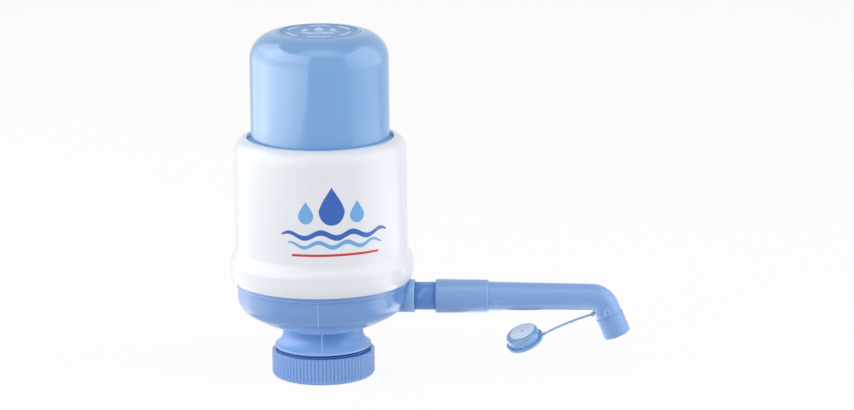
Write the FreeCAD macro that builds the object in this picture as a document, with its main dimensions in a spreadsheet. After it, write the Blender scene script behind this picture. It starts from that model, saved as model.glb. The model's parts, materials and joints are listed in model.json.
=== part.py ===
import FreeCAD, Part
import Sketcher
import math
import os

# Hand pump for a large drinking-water bottle. Lengths are in millimetres and angles in degrees.
# The origin is on the pump's axis, in the plane of the screw collar's lower edge.
# +Z is up and +X points along the spout.

SIZES = [
    # Bottle neck and screw collar
    ("bottle_neck_radius", 27.5, "crown of a standard 55 mm bottle neck"),
    ("neck_clearance", 0.25, "grip ring, open, round the bottle neck"),
    ("collar_wall", 2.35, "screw collar outside its thread, with the grip ribs"),
    ("collar_height", 16.4, "screw collar"),
    ("collar_round", 2.5, "lower outer edge of the collar"),
    ("collar_edge", 0.5, "bevel on the collar's upper edge"),
    ("collar_lip_clearance", 0.7, "collar's lower lip round the bottle neck"),
    ("collar_lip", 2.0, "height of that lip"),
    ("collar_ledge", 0.8, "step above the lip, which carries the grip ring"),
    ("cone_height", 6.0, "cone that squeezes the grip ring"),
    ("rib_count", 84, "grip grooves round the collar"),
    ("rib_depth", 0.6, "grip grooves"),
    ("rib_width", 1.3, "grip grooves at the surface"),
    ("seat_gap", 0.3, "between a soft or sliding piece and its seat"),
    ("grip_slit", 5.0, "slit in the grip ring"),
    ("thread_gap", 0.35, "collar round the threaded sleeve"),
    ("collar_travel", 2.4, "gap that the collar can still be screwed up"),
    # Base housing, from the sleeve up
    ("sleeve_clearance", 0.4, "threaded sleeve round the bottle neck"),
    ("sleeve_wall", 1.4, "threaded sleeve"),
    ("sleeve_length", 7.8, "threaded sleeve below the skirt"),
    ("skirt_overhang", 0.6, "skirt beyond the sleeve"),
    ("skirt_edge", 1.0, "thickness of the skirt's edge"),
    ("flare_radius", 8.9, "hollow curve from the skirt to the neck"),
    ("neck_radius", 24.9, "neck, outside"),
    ("neck_length", 3.2, "straight part of the neck"),
    ("bowl_radius", 52.7, "bowl, outside"),
    ("bowl_depth", 23.84, "bowl's full curve"),
    ("bowl_corner", 12.0, "tight curve at the bowl's side"),
    ("bowl_side", 6.7, "straight side above the curve"),
    ("band_step", 0.6, "raised band under the shell's edge"),
    ("band_height", 3.2, "visible part of that band"),
    ("base_wall", 2.0, "base housing"),
    ("flange_step", 1.3, "captive flange beyond the band"),
    ("flange_height", 3.1, "captive flange"),
    ("land_width", 7.7, "screw land inside the rim"),
    ("land_height", 8.0, "screw land"),
    ("land_slope", 5.0, "slope under the screw land"),
    ("hub_wall", 2.2, "hub that holds the riser"),
    ("hub_height", 11.0, "hub"),
    ("hub_rise", 2.0, "hub's upper face above the top of the neck"),
    ("hub_ribs", 3, "ribs from the neck to the hub"),
    ("rib_wall", 2.0, "thickness of those ribs"),
    # Spout side of the base
    ("spout_drop", 1.1, "spout axis below the bowl's centre"),
    ("boss_radius", 10.3, "spout boss"),
    ("boss_face", 4.9, "boss face beyond the bowl"),
    ("boss_depth", 14.6, "boss, from its inner end to its face"),
    ("stub_radius", 8.7, "stub that carries the spout"),
    ("stub_reach", 26.4, "stub beyond the boss face"),
    ("water_radius", 5.5, "waterway"),
    ("socket_depth", 11.0, "elbow's socket in the boss"),
    # Riser and elbow
    ("riser_radius", 7.4, "riser tube"),
    ("riser_bore", 4.5, "riser tube, upper part"),
    ("dip_socket_radius", 5.5, "socket for a dip tube"),
    ("dip_socket_depth", 12.0, "socket for a dip tube"),
    ("riser_foot", 12.0, "riser's lower end above the collar's edge"),
    ("riser_flange", 1.8, "flange under the hub, beyond the riser"),
    ("riser_flange_height", 2.5, "flange under the hub"),
    ("riser_entry", 10.0, "riser inside the elbow"),
    ("slip_gap", 0.05, "pushed or turning fits"),
    ("elbow_arm", 8.2, "elbow's outside radius"),
    ("elbow_bend", 12.0, "elbow's bend on its centre line"),
    ("elbow_cup_wall", 2.0, "cup round the riser"),
    ("elbow_cup_height", 11.0, "cup round the riser"),
    ("o_ring", 1.5, "O-rings, thickness of the cord"),
    ("groove_depth", 1.55, "O-ring grooves"),
    ("groove_width", 1.9, "O-ring grooves"),
    # Seals on the base
    ("neck_seal_height", 2.8, "washer on the bottle's mouth"),
    ("neck_seal_width", 4.6, "washer on the bottle's mouth"),
    ("gasket_height", 1.2, "gasket under the deck plate"),
    # Deck plate
    ("deck_height", 2.5, "deck plate"),
    ("deck_margin", 0.4, "deck plate inside the flange's radius"),
    ("screw_count", 6, "screws in the deck plate"),
    ("screw_inset", 3.9, "screw circle inside the bowl's wall"),
    ("screw_radius", 1.3, "screw shank"),
    ("screw_length", 9.0, "screw under its head"),
    ("screw_head_radius", 2.6, "pan head"),
    ("screw_head_height", 1.9, "pan head"),
    ("screw_gap", 0.3, "hole round the screw"),
    ("spigot_height", 6.5, "ring that carries the bellows"),
    ("spigot_wall", 2.0, "ring that carries the bellows"),
    # Outer shell
    ("shell_wall", 2.0, "outer shell"),
    ("shell_fit", 0.3, "shell's lip round the base band"),
    ("lip_width", 1.2, "shell's lower lip"),
    ("lip_height", 1.7, "shell's lower lip"),
    ("shell_overhang", 4.3, "wide lower band beyond the bowl"),
    ("shell_band_round", 10.1, "curve under the band"),
    ("shell_band_height", 5.5, "straight part of the band"),
    ("shell_waist", 3.6, "main wall inside the wide band"),
    ("shell_swell", 8.6, "height of the double curve above the band"),
    ("shell_height", 62.0, "straight main wall"),
    ("shell_shoulder", 7.8, "rounded shoulder, from the main wall to the cap's hole"),
    ("clip_count", 6, "hold-down ribs inside the shell"),
    ("clip_wall", 1.6, "hold-down ribs"),
    ("clip_height", 6.0, "hold-down ribs"),
    ("clip_reach", 2.2, "hold-down ribs over the deck plate"),
    # Push cap
    ("hole_clearance", 2.65, "push cap inside the shell's hole"),
    ("cap_rise", 65.5, "push cap above the shell"),
    ("cap_corner", 17.0, "rounded top edge"),
    ("cap_wall", 2.0, "push cap"),
    ("cap_gap", 0.35, "cap's guide inside the shell"),
    ("guide_length", 7.6, "cap's guide below its shoulder"),
    ("rim_inset", 0.6, "moulded rim line, inside the flat top"),
    ("rim_width", 1.0, "moulded rim line"),
    ("rim_height", 0.35, "moulded rim line"),
    ("cap_hub_radius", 14.0, "ring under the cap's top"),
    ("cap_hub_wall", 2.0, "ring under the cap's top"),
    ("cap_hub_height", 7.0, "ring and ribs under the cap's top"),
    ("cap_ribs", 6, "ribs under the cap's top"),
    ("cap_rib_reach", 11.0, "ribs beyond the ring"),
    # Bellows and its end pieces
    ("press_margin", 2.0, "press plate beyond its ring"),
    ("press_height", 3.0, "press plate"),
    ("press_inset", 6.0, "ring of the press plate inside the folds' valleys"),
    ("press_spigot_height", 6.0, "ring that holds the bellows' upper neck"),
    ("bellows_wall", 1.6, "bellows"),
    ("bellows_clearance", 5.95, "folds inside the cap's outer face"),
    ("fold_depth", 7.0, "folds, from peak to valley"),
    ("bellows_folds", 9, "folds"),
    ("bellows_crest", 1.4, "flat crest of each fold"),
    ("clamp_wall", 2.0, "ring round the bellows' lower neck"),
    ("clamp_height", 4.0, "ring round the bellows' lower neck"),
    # Valves
    ("valve_radius", 8.0, "valve disc"),
    ("valve_disc", 1.2, "valve disc"),
    ("valve_stem", 1.4, "valve stem"),
    ("valve_head", 2.6, "bulb that keeps the valve in its hole"),
    ("valve_head_height", 1.8, "bulb"),
    ("valve_lift", 1.0, "valve travel"),
    ("valve_play", 0.25, "bulb above the plate with the valve open"),
    ("air_hole_radius", 1.3, "air holes round the stem"),
    ("air_hole_circle", 4.8, "circle of the air holes"),
    ("air_holes", 6, "air holes round the stem"),
    # Spout
    ("coupling_offset", 13.1, "coupling sleeve, from the boss face"),
    ("coupling_length", 32.8, "coupling sleeve"),
    ("coupling_radius", 10.55, "coupling sleeve at the pump's side"),
    ("coupling_end_radius", 10.3, "coupling sleeve at the tube's side"),
    ("coupling_edge", 0.6, "bevels of the coupling sleeve"),
    ("coupling_web", 3.0, "inner stop of the coupling sleeve"),
    ("tube_entry", 14.6, "tube inside the coupling sleeve"),
    ("tube_radius", 9.1, "tube at the sleeve"),
    ("tube_tip_radius", 8.25, "tube at its bend"),
    ("tube_wall", 1.6, "tube"),
    ("tube_reach", 63.7, "tube, from the sleeve to its bend"),
    ("spout_turn", 68.0, "bend of the tube, downwards"),
    ("spout_bend", 9.5, "bend on its centre line"),
    ("spout_leg", 5.8, "straight part after the bend"),
    ("nozzle_radius", 8.75, "outlet sleeve"),
    ("nozzle_length", 13.4, "outlet sleeve"),
    ("nozzle_lip", 1.6, "outlet sleeve's inner lip"),
    ("nozzle_lip_depth", 0.9, "outlet sleeve's inner lip"),
    ("tip_step", 0.9, "tube's end inside the outlet sleeve"),
    # Dust cap and its strap
    ("button_radius", 1.1, "strap's root, across the spout"),
    ("strap_width", 3.0, "strap"),
    ("strap_wall", 0.8, "strap"),
    ("strap_back", 4.2, "strap's root before the outlet sleeve"),
    ("strap_run", 30.1, "strap, along X"),
    ("strap_fall", 12.8, "strap, downwards"),
    ("strap_curve", 160.0, "radius of the strap's bow"),
    ("bead_radius", 0.75, "hinge bead at the strap's tip"),
    ("dust_radius", 10.2, "dust cap's face"),
    ("dust_rim_radius", 11.9, "dust cap's rim flange"),
    ("dust_height", 7.4, "dust cap"),
    ("dust_wall", 1.2, "dust cap"),
    ("dust_rim_height", 1.4, "dust cap's rim flange"),
    ("dust_round", 1.5, "dust cap's upper edge"),
    ("dust_tilt", 26.6, "dust cap's lean from upright"),
    ("dust_heading", 39.7, "direction of that lean, from -X towards -Y"),
]

doc = FreeCAD.newDocument("hand_pump")
sheet = doc.addObject("Spreadsheet::Sheet", "sizes")
for row, (alias, number, note) in enumerate(SIZES, 1):
    sheet.set(f"A{row}", note)
    sheet.set(f"B{row}", str(number))
    sheet.setAlias(f"B{row}", alias)
doc.recompute()
levels = doc.addObject("App::VarSet", "levels")


class Size:
    """A size that knows its value and the formula, in terms of the sheet, that gives it."""

    def __init__(self, value, formula):
        self.value = float(value)
        self.formula = formula

    def __add__(self, other):
        other = size(other)
        return Size(self.value + other.value, f"({self.formula} + {other.formula})")

    def __radd__(self, other):
        return size(other) + self

    def __sub__(self, other):
        other = size(other)
        return Size(self.value - other.value, f"({self.formula} - {other.formula})")

    def __rsub__(self, other):
        return size(other) - self

    def __mul__(self, other):
        other = size(other)
        return Size(self.value * other.value, f"({self.formula} * {other.formula})")

    def __rmul__(self, other):
        return size(other) * self

    def __truediv__(self, other):
        other = size(other)
        return Size(self.value / other.value, f"({self.formula} / {other.formula})")

    def __neg__(self):
        return size(0) - self


def size(number):
    return number if isinstance(number, Size) else Size(number, repr(float(number)))


def root(number):
    return Size(math.sqrt(number.value), f"sqrt({number.formula})")


def cosine(angle):
    return Size(math.cos(math.radians(angle.value)), f"cos({angle.formula})")


def sine(angle):
    return Size(math.sin(math.radians(angle.value)), f"sin({angle.formula})")


def half_tangent(angle):
    return Size(math.tan(math.radians(angle.value / 2)), f"tan({angle.formula} / 2)")


class Dimensions:
    """The sheet's cells, by alias."""


dim = Dimensions()
for alias, number, note in SIZES:
    setattr(dim, alias, Size(sheet.get(alias), f"sizes.{alias}"))


def level(name, amount):
    """Keeps a worked-out size in the document, under its own name."""
    levels.addProperty("App::PropertyFloat", name)
    levels.setExpression(name, amount.formula)
    return Size(amount.value, f"levels.{name}")


class Arc:
    """Corner of an outline that an arc leads to. It turns left or right on its way there."""

    def __init__(self, across, up, radius, turn):
        self.across = size(across)
        self.up = size(up)
        self.radius = size(radius)
        self.turn = turn


LEFT = 1
RIGHT = -1
QUARTER_TURN = 90


def new_body(name):
    body = doc.addObject("PartDesign::Body", name)
    body.Label = name
    return body


def origin_of(body, role):
    for feature in body.Origin.OriginFeatures:
        if feature.Role == role:
            return feature
    raise RuntimeError(f"{body.Name} has no {role}")


def new_sketch(body, name, role, offset=None):
    sketch = body.newObject("Sketcher::SketchObject", name)
    sketch.AttachmentSupport = [(origin_of(body, role), "")]
    sketch.MapMode = "FlatFace"
    if offset is not None:
        sketch.setExpression("AttachmentOffset.Base.z", size(offset).formula)
    return sketch


def pin_point(sketch, constraints, formulas, geometry, end, across, up):
    """Ties one point of a sketch to the sheet, by its distances from the sketch's origin."""
    for kind, axis, amount in (("DistanceX", -2, across), ("DistanceY", -1, up)):
        if amount.value == 0:
            constraints.append(Sketcher.Constraint("PointOnObject", geometry, end, axis))
            formulas.append(None)
        else:
            constraints.append(Sketcher.Constraint(kind, -1, 1, geometry, end, amount.value))
            formulas.append(amount.formula)


def apply_constraints(sketch, constraints, formulas):
    first = sketch.ConstraintCount
    sketch.addConstraint(constraints)
    for number, formula in enumerate(formulas):
        if formula is not None:
            sketch.setExpression(f"Constraints[{first + number}]", formula)


def arc_edge(start, end, radius, turn):
    """Short arc from one point to another, with its centre on the side that it turns to."""
    chord = end - start
    half = chord.Length / 2
    side = FreeCAD.Vector(-chord.y, chord.x, 0).normalize() * turn
    centre = start + chord / 2 + side * math.sqrt(max(radius * radius - half * half, 0))
    first, last = (start, end) if turn == LEFT else (end, start)
    start_angle = math.atan2(first.y - centre.y, first.x - centre.x)
    end_angle = math.atan2(last.y - centre.y, last.x - centre.x)
    circle = Part.Circle(centre, FreeCAD.Vector(0, 0, 1), radius)
    return Part.ArcOfCircle(circle, start_angle, end_angle)


def draw_outline(sketch, corners):
    """Closed outline of lines and arcs, with each corner and radius tied to the sheet."""
    corners = [c if isinstance(c, Arc) else Arc(c[0], c[1], 0, 0) for c in corners]
    points = [FreeCAD.Vector(c.across.value, c.up.value, 0) for c in corners]
    edges = []
    ends = []
    for number, corner in enumerate(corners):
        start, end = points[number - 1], points[number]
        if corner.turn:
            edges.append(arc_edge(start, end, corner.radius.value, corner.turn))
            ends.append((1, 2) if corner.turn == LEFT else (2, 1))
        else:
            edges.append(Part.LineSegment(start, end))
            ends.append((1, 2))
    first = sketch.GeometryCount
    sketch.addGeometry(edges, False)
    constraints = []
    formulas = []
    for number, corner in enumerate(corners):
        after = (number + 1) % len(corners)
        constraints.append(Sketcher.Constraint(
            "Coincident", first + number, ends[number][1], first + after, ends[after][0]))
        formulas.append(None)
        pin_point(sketch, constraints, formulas, first + number, ends[number][1],
                  corner.across, corner.up)
        if corner.turn:
            constraints.append(Sketcher.Constraint("Radius", first + number, corner.radius.value))
            formulas.append(corner.radius.formula)
    apply_constraints(sketch, constraints, formulas)


def draw_circles(sketch, circles):
    """Circles, each given by its centre and radius."""
    for across, up, radius in circles:
        across, up, radius = size(across), size(up), size(radius)
        centre = FreeCAD.Vector(across.value, up.value, 0)
        index = sketch.addGeometry(
            Part.Circle(centre, FreeCAD.Vector(0, 0, 1), radius.value), False)
        constraints = []
        formulas = []
        pin_point(sketch, constraints, formulas, index, 3, across, up)
        constraints.append(Sketcher.Constraint("Radius", index, radius.value))
        formulas.append(radius.formula)
        apply_constraints(sketch, constraints, formulas)


def box_corners(low_across, low_up, high_across, high_up):
    return [(low_across, low_up), (high_across, low_up), (high_across, high_up), (low_across, high_up)]


def revolve(body, name, corners, axis="V_Axis", kind="Revolution"):
    """Turns an outline in the XZ plane about the body's Z axis, or X with axis H_Axis."""
    sketch = new_sketch(body, name + "_outline", "XZ_Plane")
    draw_outline(sketch, corners)
    return revolve_sketch(body, name, sketch, axis, kind)


def revolve_sketch(body, name, sketch, axis, kind="Revolution"):
    before = volume_of(body) if kind == "Groove" else 0
    feature = body.newObject("PartDesign::" + kind, name)
    feature.Profile = sketch
    feature.ReferenceAxis = (sketch, [axis])
    feature.Angle = 360
    if kind == "Groove":
        check_cut(body, feature, before)
    return feature


def pad(body, name, sketch, length, both=False):
    feature = body.newObject("PartDesign::Pad", name)
    feature.Profile = sketch
    feature.setExpression("Length", size(length).formula)
    feature.Midplane = both
    return feature


def volume_of(body):
    doc.recompute()
    return body.Shape.Volume


def check_cut(body, feature, before):
    """A cut that points away from the solid takes nothing away and shows no error."""
    if not volume_of(body) < before - 1e-3:
        raise RuntimeError(f"{feature.Name} cuts nothing")


def pocket(body, name, sketch, length, upwards=True, both=False):
    """Cuts a sketch away along its normal, or against it when upwards is False."""
    before = volume_of(body)
    feature = body.newObject("PartDesign::Pocket", name)
    feature.Profile = sketch
    feature.setExpression("Length", size(length).formula)
    feature.Reversed = upwards and not both
    feature.Midplane = both
    check_cut(body, feature, before)
    return feature


def repeat_round(body, name, features, count, axis="Z_Axis"):
    pattern = body.newObject("PartDesign::PolarPattern", name)
    pattern.Originals = features
    pattern.Axis = (origin_of(body, axis), [""])
    pattern.Angle = 360
    pattern.setExpression("Occurrences", size(count).formula)
    body.Tip = pattern
    return pattern


def place(body, across=0, forward=0, up=0, turn_axis=None, turn=None):
    """Moves a body, and turns it about an axis through its own origin, by the sheet's sizes."""
    for name, amount in (("x", across), ("y", forward), ("z", up)):
        body.setExpression("Placement.Base." + name, size(amount).formula)
    if turn is not None:
        for name, amount in zip("xyz", turn_axis):
            body.setExpression("Placement.Rotation.Axis." + name, size(amount).formula)
        body.setExpression("Placement.Rotation.Angle", size(turn).formula)


def upright_seal(name, radius, up):
    """O-ring about the pump's axis, with its cord's centre at the given radius and height."""
    body = new_body(name)
    sketch = new_sketch(body, name + "_cord", "XZ_Plane")
    draw_circles(sketch, [(radius, up, dim.o_ring / 2)])
    revolve_sketch(body, name + "_turn", sketch, "V_Axis")


def spout_seal(name, radius, along):
    """O-ring about the spout's axis, at a distance along it."""
    body = new_body(name)
    sketch = new_sketch(body, name + "_cord", "XZ_Plane")
    draw_circles(sketch, [(along, radius, dim.o_ring / 2)])
    revolve_sketch(body, name + "_turn", sketch, "H_Axis")
    place(body, up=spout_level)


# Heights, each from the one below
skirt_level = level("skirt_level", dim.collar_height + dim.collar_travel)
sleeve_bore = level("sleeve_bore", dim.bottle_neck_radius + dim.sleeve_clearance)
sleeve_radius = level("sleeve_radius", sleeve_bore + dim.sleeve_wall)
skirt_radius = level("skirt_radius", sleeve_radius + dim.skirt_overhang)
flare_step = level("flare_step", skirt_radius - dim.neck_radius)
flare_rise = level(
    "flare_rise", root(2 * dim.flare_radius * flare_step - flare_step * flare_step))
flare_top = level("flare_top", skirt_level + dim.skirt_edge + flare_rise)
bowl_foot = level("bowl_foot", flare_top + dim.neck_length)
bowl_corner_centre = level("bowl_corner_centre", dim.bowl_radius - dim.bowl_corner)
bowl_sweep = level("bowl_sweep", (
    dim.bowl_radius * dim.bowl_radius + dim.bowl_depth * dim.bowl_depth
    - 2 * dim.bowl_radius * dim.bowl_corner) / (2 * (dim.bowl_depth - dim.bowl_corner)))
sweep_centre = level("sweep_centre", bowl_foot + root(
    bowl_sweep * bowl_sweep - dim.neck_radius * dim.neck_radius))
bowl_centre = level("bowl_centre", sweep_centre - bowl_sweep + dim.bowl_depth)
sweep_across = level("sweep_across", bowl_corner_centre / (bowl_sweep - dim.bowl_corner))
sweep_down = level("sweep_down", (sweep_centre - bowl_centre) / (bowl_sweep - dim.bowl_corner))
band_level = level("band_level", bowl_centre + dim.bowl_side)
band_radius = level("band_radius", dim.bowl_radius + dim.band_step)
land_radius = level("land_radius", dim.bowl_radius - dim.land_width)
shell_level = level("shell_level", band_level + dim.band_height)
flange_level = level("flange_level", shell_level + dim.lip_height)
flange_radius = level("flange_radius", band_radius + dim.flange_step)
rim_level = level("rim_level", flange_level + dim.flange_height)
deck_level = level("deck_level", rim_level + dim.gasket_height)
deck_top = level("deck_top", deck_level + dim.deck_height)
spout_level = level("spout_level", bowl_centre - dim.spout_drop)
hub_top = level("hub_top", bowl_foot + dim.hub_rise)
hub_foot = level("hub_foot", hub_top - dim.hub_height)
shell_band_radius = level("shell_band_radius", dim.bowl_radius + dim.shell_overhang)
shell_radius = level("shell_radius", shell_band_radius - dim.shell_waist)
hole_radius = level("hole_radius", shell_radius - dim.shell_shoulder)
cap_radius = level("cap_radius", hole_radius - dim.hole_clearance)
bellows_peak = level("bellows_peak", cap_radius - dim.bellows_clearance)
bellows_valley = level("bellows_valley", bellows_peak - dim.fold_depth)
press_spigot_radius = level("press_spigot_radius", bellows_valley - dim.press_inset)
shell_band_step = level("shell_band_step", shell_band_radius - band_radius
                        - dim.shell_fit - dim.lip_width)
shell_band_rise = level("shell_band_rise", root(
    2 * dim.shell_band_round * shell_band_step - shell_band_step * shell_band_step))
shell_band_start = level("shell_band_start", shell_level + shell_band_rise)
swell_start = level("swell_start", shell_band_start + dim.shell_band_height)
swell_end = level("swell_end", swell_start + dim.shell_swell)
swell_radius = level("swell_radius", (
    dim.shell_waist * dim.shell_waist + dim.shell_swell * dim.shell_swell)
    / (4 * dim.shell_waist))
shoulder_level = level("shoulder_level", swell_end + dim.shell_height)
shell_top = level("shell_top", shoulder_level + dim.shell_shoulder)
shell_inside = level("shell_inside", shell_radius - dim.shell_wall)
cap_shoulder_radius = level("cap_shoulder_radius",
                            dim.shell_shoulder - dim.shell_wall - dim.cap_gap)
cap_shoulder_top = level("cap_shoulder_top", shoulder_level + cap_shoulder_radius)
guide_radius = level("guide_radius", shell_inside - dim.cap_gap)
guide_foot = level("guide_foot", shoulder_level - dim.guide_length)
cap_top = level("cap_top", shell_top + dim.cap_rise)
cap_ceiling = level("cap_ceiling", cap_top - dim.cap_wall)
cap_flat = level("cap_flat", cap_radius - dim.cap_corner)
press_top = level("press_top", cap_ceiling - dim.cap_hub_height)
press_level = level("press_level", press_top - dim.press_height)
grip_radius = level("grip_radius", dim.bottle_neck_radius + dim.neck_clearance)
collar_mouth = level("collar_mouth", dim.bottle_neck_radius + dim.collar_lip_clearance)
collar_bore = level("collar_bore", sleeve_radius + dim.thread_gap)
collar_radius = level("collar_radius", collar_bore + dim.collar_wall)
cone_top = level("cone_top", dim.collar_lip + dim.cone_height)
spigot_radius = level("spigot_radius", bellows_valley - dim.bellows_wall - dim.seat_gap)
screw_circle = level("screw_circle", dim.bowl_radius - dim.base_wall - dim.screw_inset)
boss_reach = level("boss_reach", dim.bowl_radius + dim.boss_face)
boss_start = level("boss_start", boss_reach - dim.boss_depth)
stub_end = level("stub_end", boss_reach + dim.stub_reach)
coupling_start = level("coupling_start", boss_reach + dim.coupling_offset)
coupling_end = level("coupling_end", coupling_start + dim.coupling_length)
tube_start = level("tube_start", coupling_end - dim.tube_entry)
bend_start = level("bend_start", coupling_end + dim.tube_reach)
bend_tangent = level("bend_tangent", dim.spout_bend * half_tangent(dim.spout_turn))
bend_corner = level("bend_corner", bend_start + bend_tangent)
flow_across = level("flow_across", cosine(dim.spout_turn))
flow_down = level("flow_down", sine(dim.spout_turn))
nozzle_distance = level("nozzle_distance", bend_tangent + dim.spout_leg)
nozzle_across = level("nozzle_across", bend_corner + nozzle_distance * flow_across)
nozzle_level = level("nozzle_level", spout_level - nozzle_distance * flow_down)


def make_base_housing():
    """Bowl, neck, skirt and threaded sleeve in one, with the spout's stub and the riser's hub."""
    body = new_body("base_housing")
    wall = dim.base_wall
    inner_radius = dim.bowl_radius - wall
    land_foot = rim_level - dim.land_height
    corner = dim.bowl_corner
    revolve(body, "bowl", [
        (sleeve_bore, skirt_level - dim.sleeve_length),
        (sleeve_radius, skirt_level - dim.sleeve_length),
        (sleeve_radius, skirt_level),
        (skirt_radius, skirt_level),
        (skirt_radius, skirt_level + dim.skirt_edge),
        Arc(dim.neck_radius, flare_top, dim.flare_radius, RIGHT),
        (dim.neck_radius, bowl_foot),
        Arc(bowl_corner_centre + corner * sweep_across, bowl_centre - corner * sweep_down,
            bowl_sweep, LEFT),
        Arc(dim.bowl_radius, bowl_centre, corner, LEFT),
        (dim.bowl_radius, band_level),
        (band_radius, band_level),
        (band_radius, flange_level),
        (flange_radius, flange_level),
        (flange_radius, rim_level),
        (land_radius, rim_level),
        (land_radius, land_foot),
        (inner_radius, land_foot - dim.land_slope),
        (inner_radius, bowl_centre),
        Arc(bowl_corner_centre + (corner - wall) * sweep_across,
            bowl_centre - (corner - wall) * sweep_down, corner - wall, RIGHT),
        Arc(dim.neck_radius - wall, sweep_centre - root(
            (bowl_sweep - wall) * (bowl_sweep - wall)
            - (dim.neck_radius - wall) * (dim.neck_radius - wall)), bowl_sweep - wall, RIGHT),
        (dim.neck_radius - wall, skirt_level),
        (sleeve_bore, skirt_level),
    ])
    hub = new_sketch(body, "hub_outline", "XY_Plane", hub_foot)
    draw_circles(hub, [(0, 0, dim.riser_radius + dim.slip_gap + dim.hub_wall)])
    pad(body, "hub", hub, dim.hub_height)
    rib = new_sketch(body, "hub_rib_outline", "XY_Plane", hub_foot)
    draw_outline(rib, box_corners(dim.riser_radius + dim.hub_wall / 2, -dim.rib_wall / 2,
                                  dim.neck_radius - wall / 2, dim.rib_wall / 2))
    hub_rib = pad(body, "hub_rib", rib, dim.hub_height)
    repeat_round(body, "hub_rib_pattern", [hub_rib], dim.hub_ribs)
    riser_hole = new_sketch(body, "riser_hole_outline", "XY_Plane", hub_foot)
    draw_circles(riser_hole, [(0, 0, dim.riser_radius + dim.slip_gap)])
    pocket(body, "riser_hole", riser_hole, dim.hub_height)
    boss = new_sketch(body, "boss_outline", "YZ_Plane", boss_start)
    draw_circles(boss, [(0, spout_level, dim.boss_radius)])
    pad(body, "boss", boss, dim.boss_depth)
    stub = new_sketch(body, "stub_outline", "YZ_Plane", boss_start + dim.socket_depth)
    draw_circles(stub, [(0, spout_level, dim.stub_radius)])
    pad(body, "stub", stub, dim.boss_depth - dim.socket_depth + dim.stub_reach)
    waterway = new_sketch(body, "waterway_outline", "YZ_Plane", boss_start)
    draw_circles(waterway, [(0, spout_level, dim.water_radius)])
    pocket(body, "waterway", waterway, dim.boss_depth + dim.stub_reach)
    socket = new_sketch(body, "socket_outline", "YZ_Plane", bowl_corner_centre)
    draw_circles(socket, [(0, spout_level, dim.elbow_arm + dim.slip_gap)])
    pocket(body, "socket", socket, boss_start + dim.socket_depth - bowl_corner_centre)
    groove_outline = new_sketch(body, "stub_groove_outline", "XZ_Plane")
    groove_middle = stub_end - dim.coupling_web
    draw_outline(groove_outline, box_corners(
        groove_middle - dim.groove_width / 2, spout_level + dim.stub_radius - dim.groove_depth,
        groove_middle + dim.groove_width / 2, spout_level + dim.stub_radius + dim.slip_gap))
    add_axis(groove_outline, spout_level)
    revolve_sketch(body, "stub_groove", groove_outline, "Axis0", "Groove")
    screws = new_sketch(body, "screw_hole_outline", "XY_Plane", rim_level)
    draw_circles(screws, [(screw_circle, 0, dim.screw_radius + dim.slip_gap)])
    screw_hole = pocket(body, "screw_hole", screws, dim.screw_length - dim.deck_height,
                        upwards=False)
    repeat_round(body, "screw_holes", [screw_hole], dim.screw_count)


def add_axis(sketch, up):
    """Construction line at a height, from the pump's axis to the boss, to turn about."""
    index = sketch.addGeometry(Part.LineSegment(
        FreeCAD.Vector(0, up.value, 0), FreeCAD.Vector(boss_start.value, up.value, 0)), True)
    constraints = []
    formulas = []
    pin_point(sketch, constraints, formulas, index, 1, size(0), up)
    pin_point(sketch, constraints, formulas, index, 2, boss_start, up)
    apply_constraints(sketch, constraints, formulas)


def make_screw_collar():
    """Ring with an inner lip and cone that squeeze the grip ring, and grooves for the fingers."""
    body = new_body("screw_collar")
    radius = collar_radius
    height = dim.collar_height
    revolve(body, "ring", [
        (collar_mouth, 0),
        (radius - dim.collar_round, 0),
        Arc(radius, dim.collar_round, dim.collar_round, LEFT),
        (radius, height - dim.collar_edge),
        (radius - dim.collar_edge, height),
        (collar_bore, height),
        (collar_bore, cone_top),
        (collar_mouth + dim.collar_ledge, dim.collar_lip),
        (collar_mouth, dim.collar_lip),
    ])
    outline = new_sketch(body, "grip_groove_outline", "XY_Plane", dim.collar_round)
    draw_outline(outline, [
        (radius - dim.rib_depth, 0),
        (radius + dim.slip_gap, -dim.rib_width / 2),
        (radius + dim.slip_gap, dim.rib_width / 2),
    ])
    groove = pocket(body, "grip_groove", outline, height - dim.collar_round)
    repeat_round(body, "grip_grooves", [groove], dim.rib_count)


def make_grip_ring():
    body = new_body("grip_ring")
    foot = dim.collar_lip + dim.seat_gap
    low_radius = collar_mouth + dim.collar_ledge - dim.seat_gap
    high_radius = collar_bore - dim.seat_gap
    revolve(body, "ring", [
        (grip_radius, foot),
        (low_radius, foot),
        (high_radius, foot + dim.cone_height),
        (grip_radius, foot + dim.cone_height),
    ])
    outline = new_sketch(body, "slit_outline", "XY_Plane", foot)
    draw_outline(outline, box_corners(-collar_bore, -dim.grip_slit / 2, 0, dim.grip_slit / 2))
    pocket(body, "slit", outline, dim.cone_height)


def make_neck_seal():
    body = new_body("neck_seal")
    outer = sleeve_bore - dim.seat_gap
    revolve(body, "washer", box_corners(
        outer - dim.neck_seal_width, skirt_level - dim.neck_seal_height, outer, skirt_level))


def make_riser_tube():
    """Tube on the pump's axis. Its lower end takes a dip tube and its upper end an O-ring."""
    body = new_body("riser_tube")
    radius = dim.riser_radius
    top = hub_top + dim.riser_entry
    socket_top = dim.riser_foot + dim.dip_socket_depth
    groove = riser_groove()
    revolve(body, "tube", [
        (dim.dip_socket_radius, dim.riser_foot),
        (radius, dim.riser_foot),
        (radius, hub_foot - dim.riser_flange_height),
        (radius + dim.riser_flange, hub_foot - dim.riser_flange_height),
        (radius + dim.riser_flange, hub_foot),
        (radius, hub_foot),
        (radius, groove - dim.groove_width / 2),
        (radius - dim.groove_depth, groove - dim.groove_width / 2),
        (radius - dim.groove_depth, groove + dim.groove_width / 2),
        (radius, groove + dim.groove_width / 2),
        (radius, top),
        (dim.riser_bore, top),
        (dim.riser_bore, socket_top),
        (dim.dip_socket_radius, socket_top),
    ])


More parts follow.
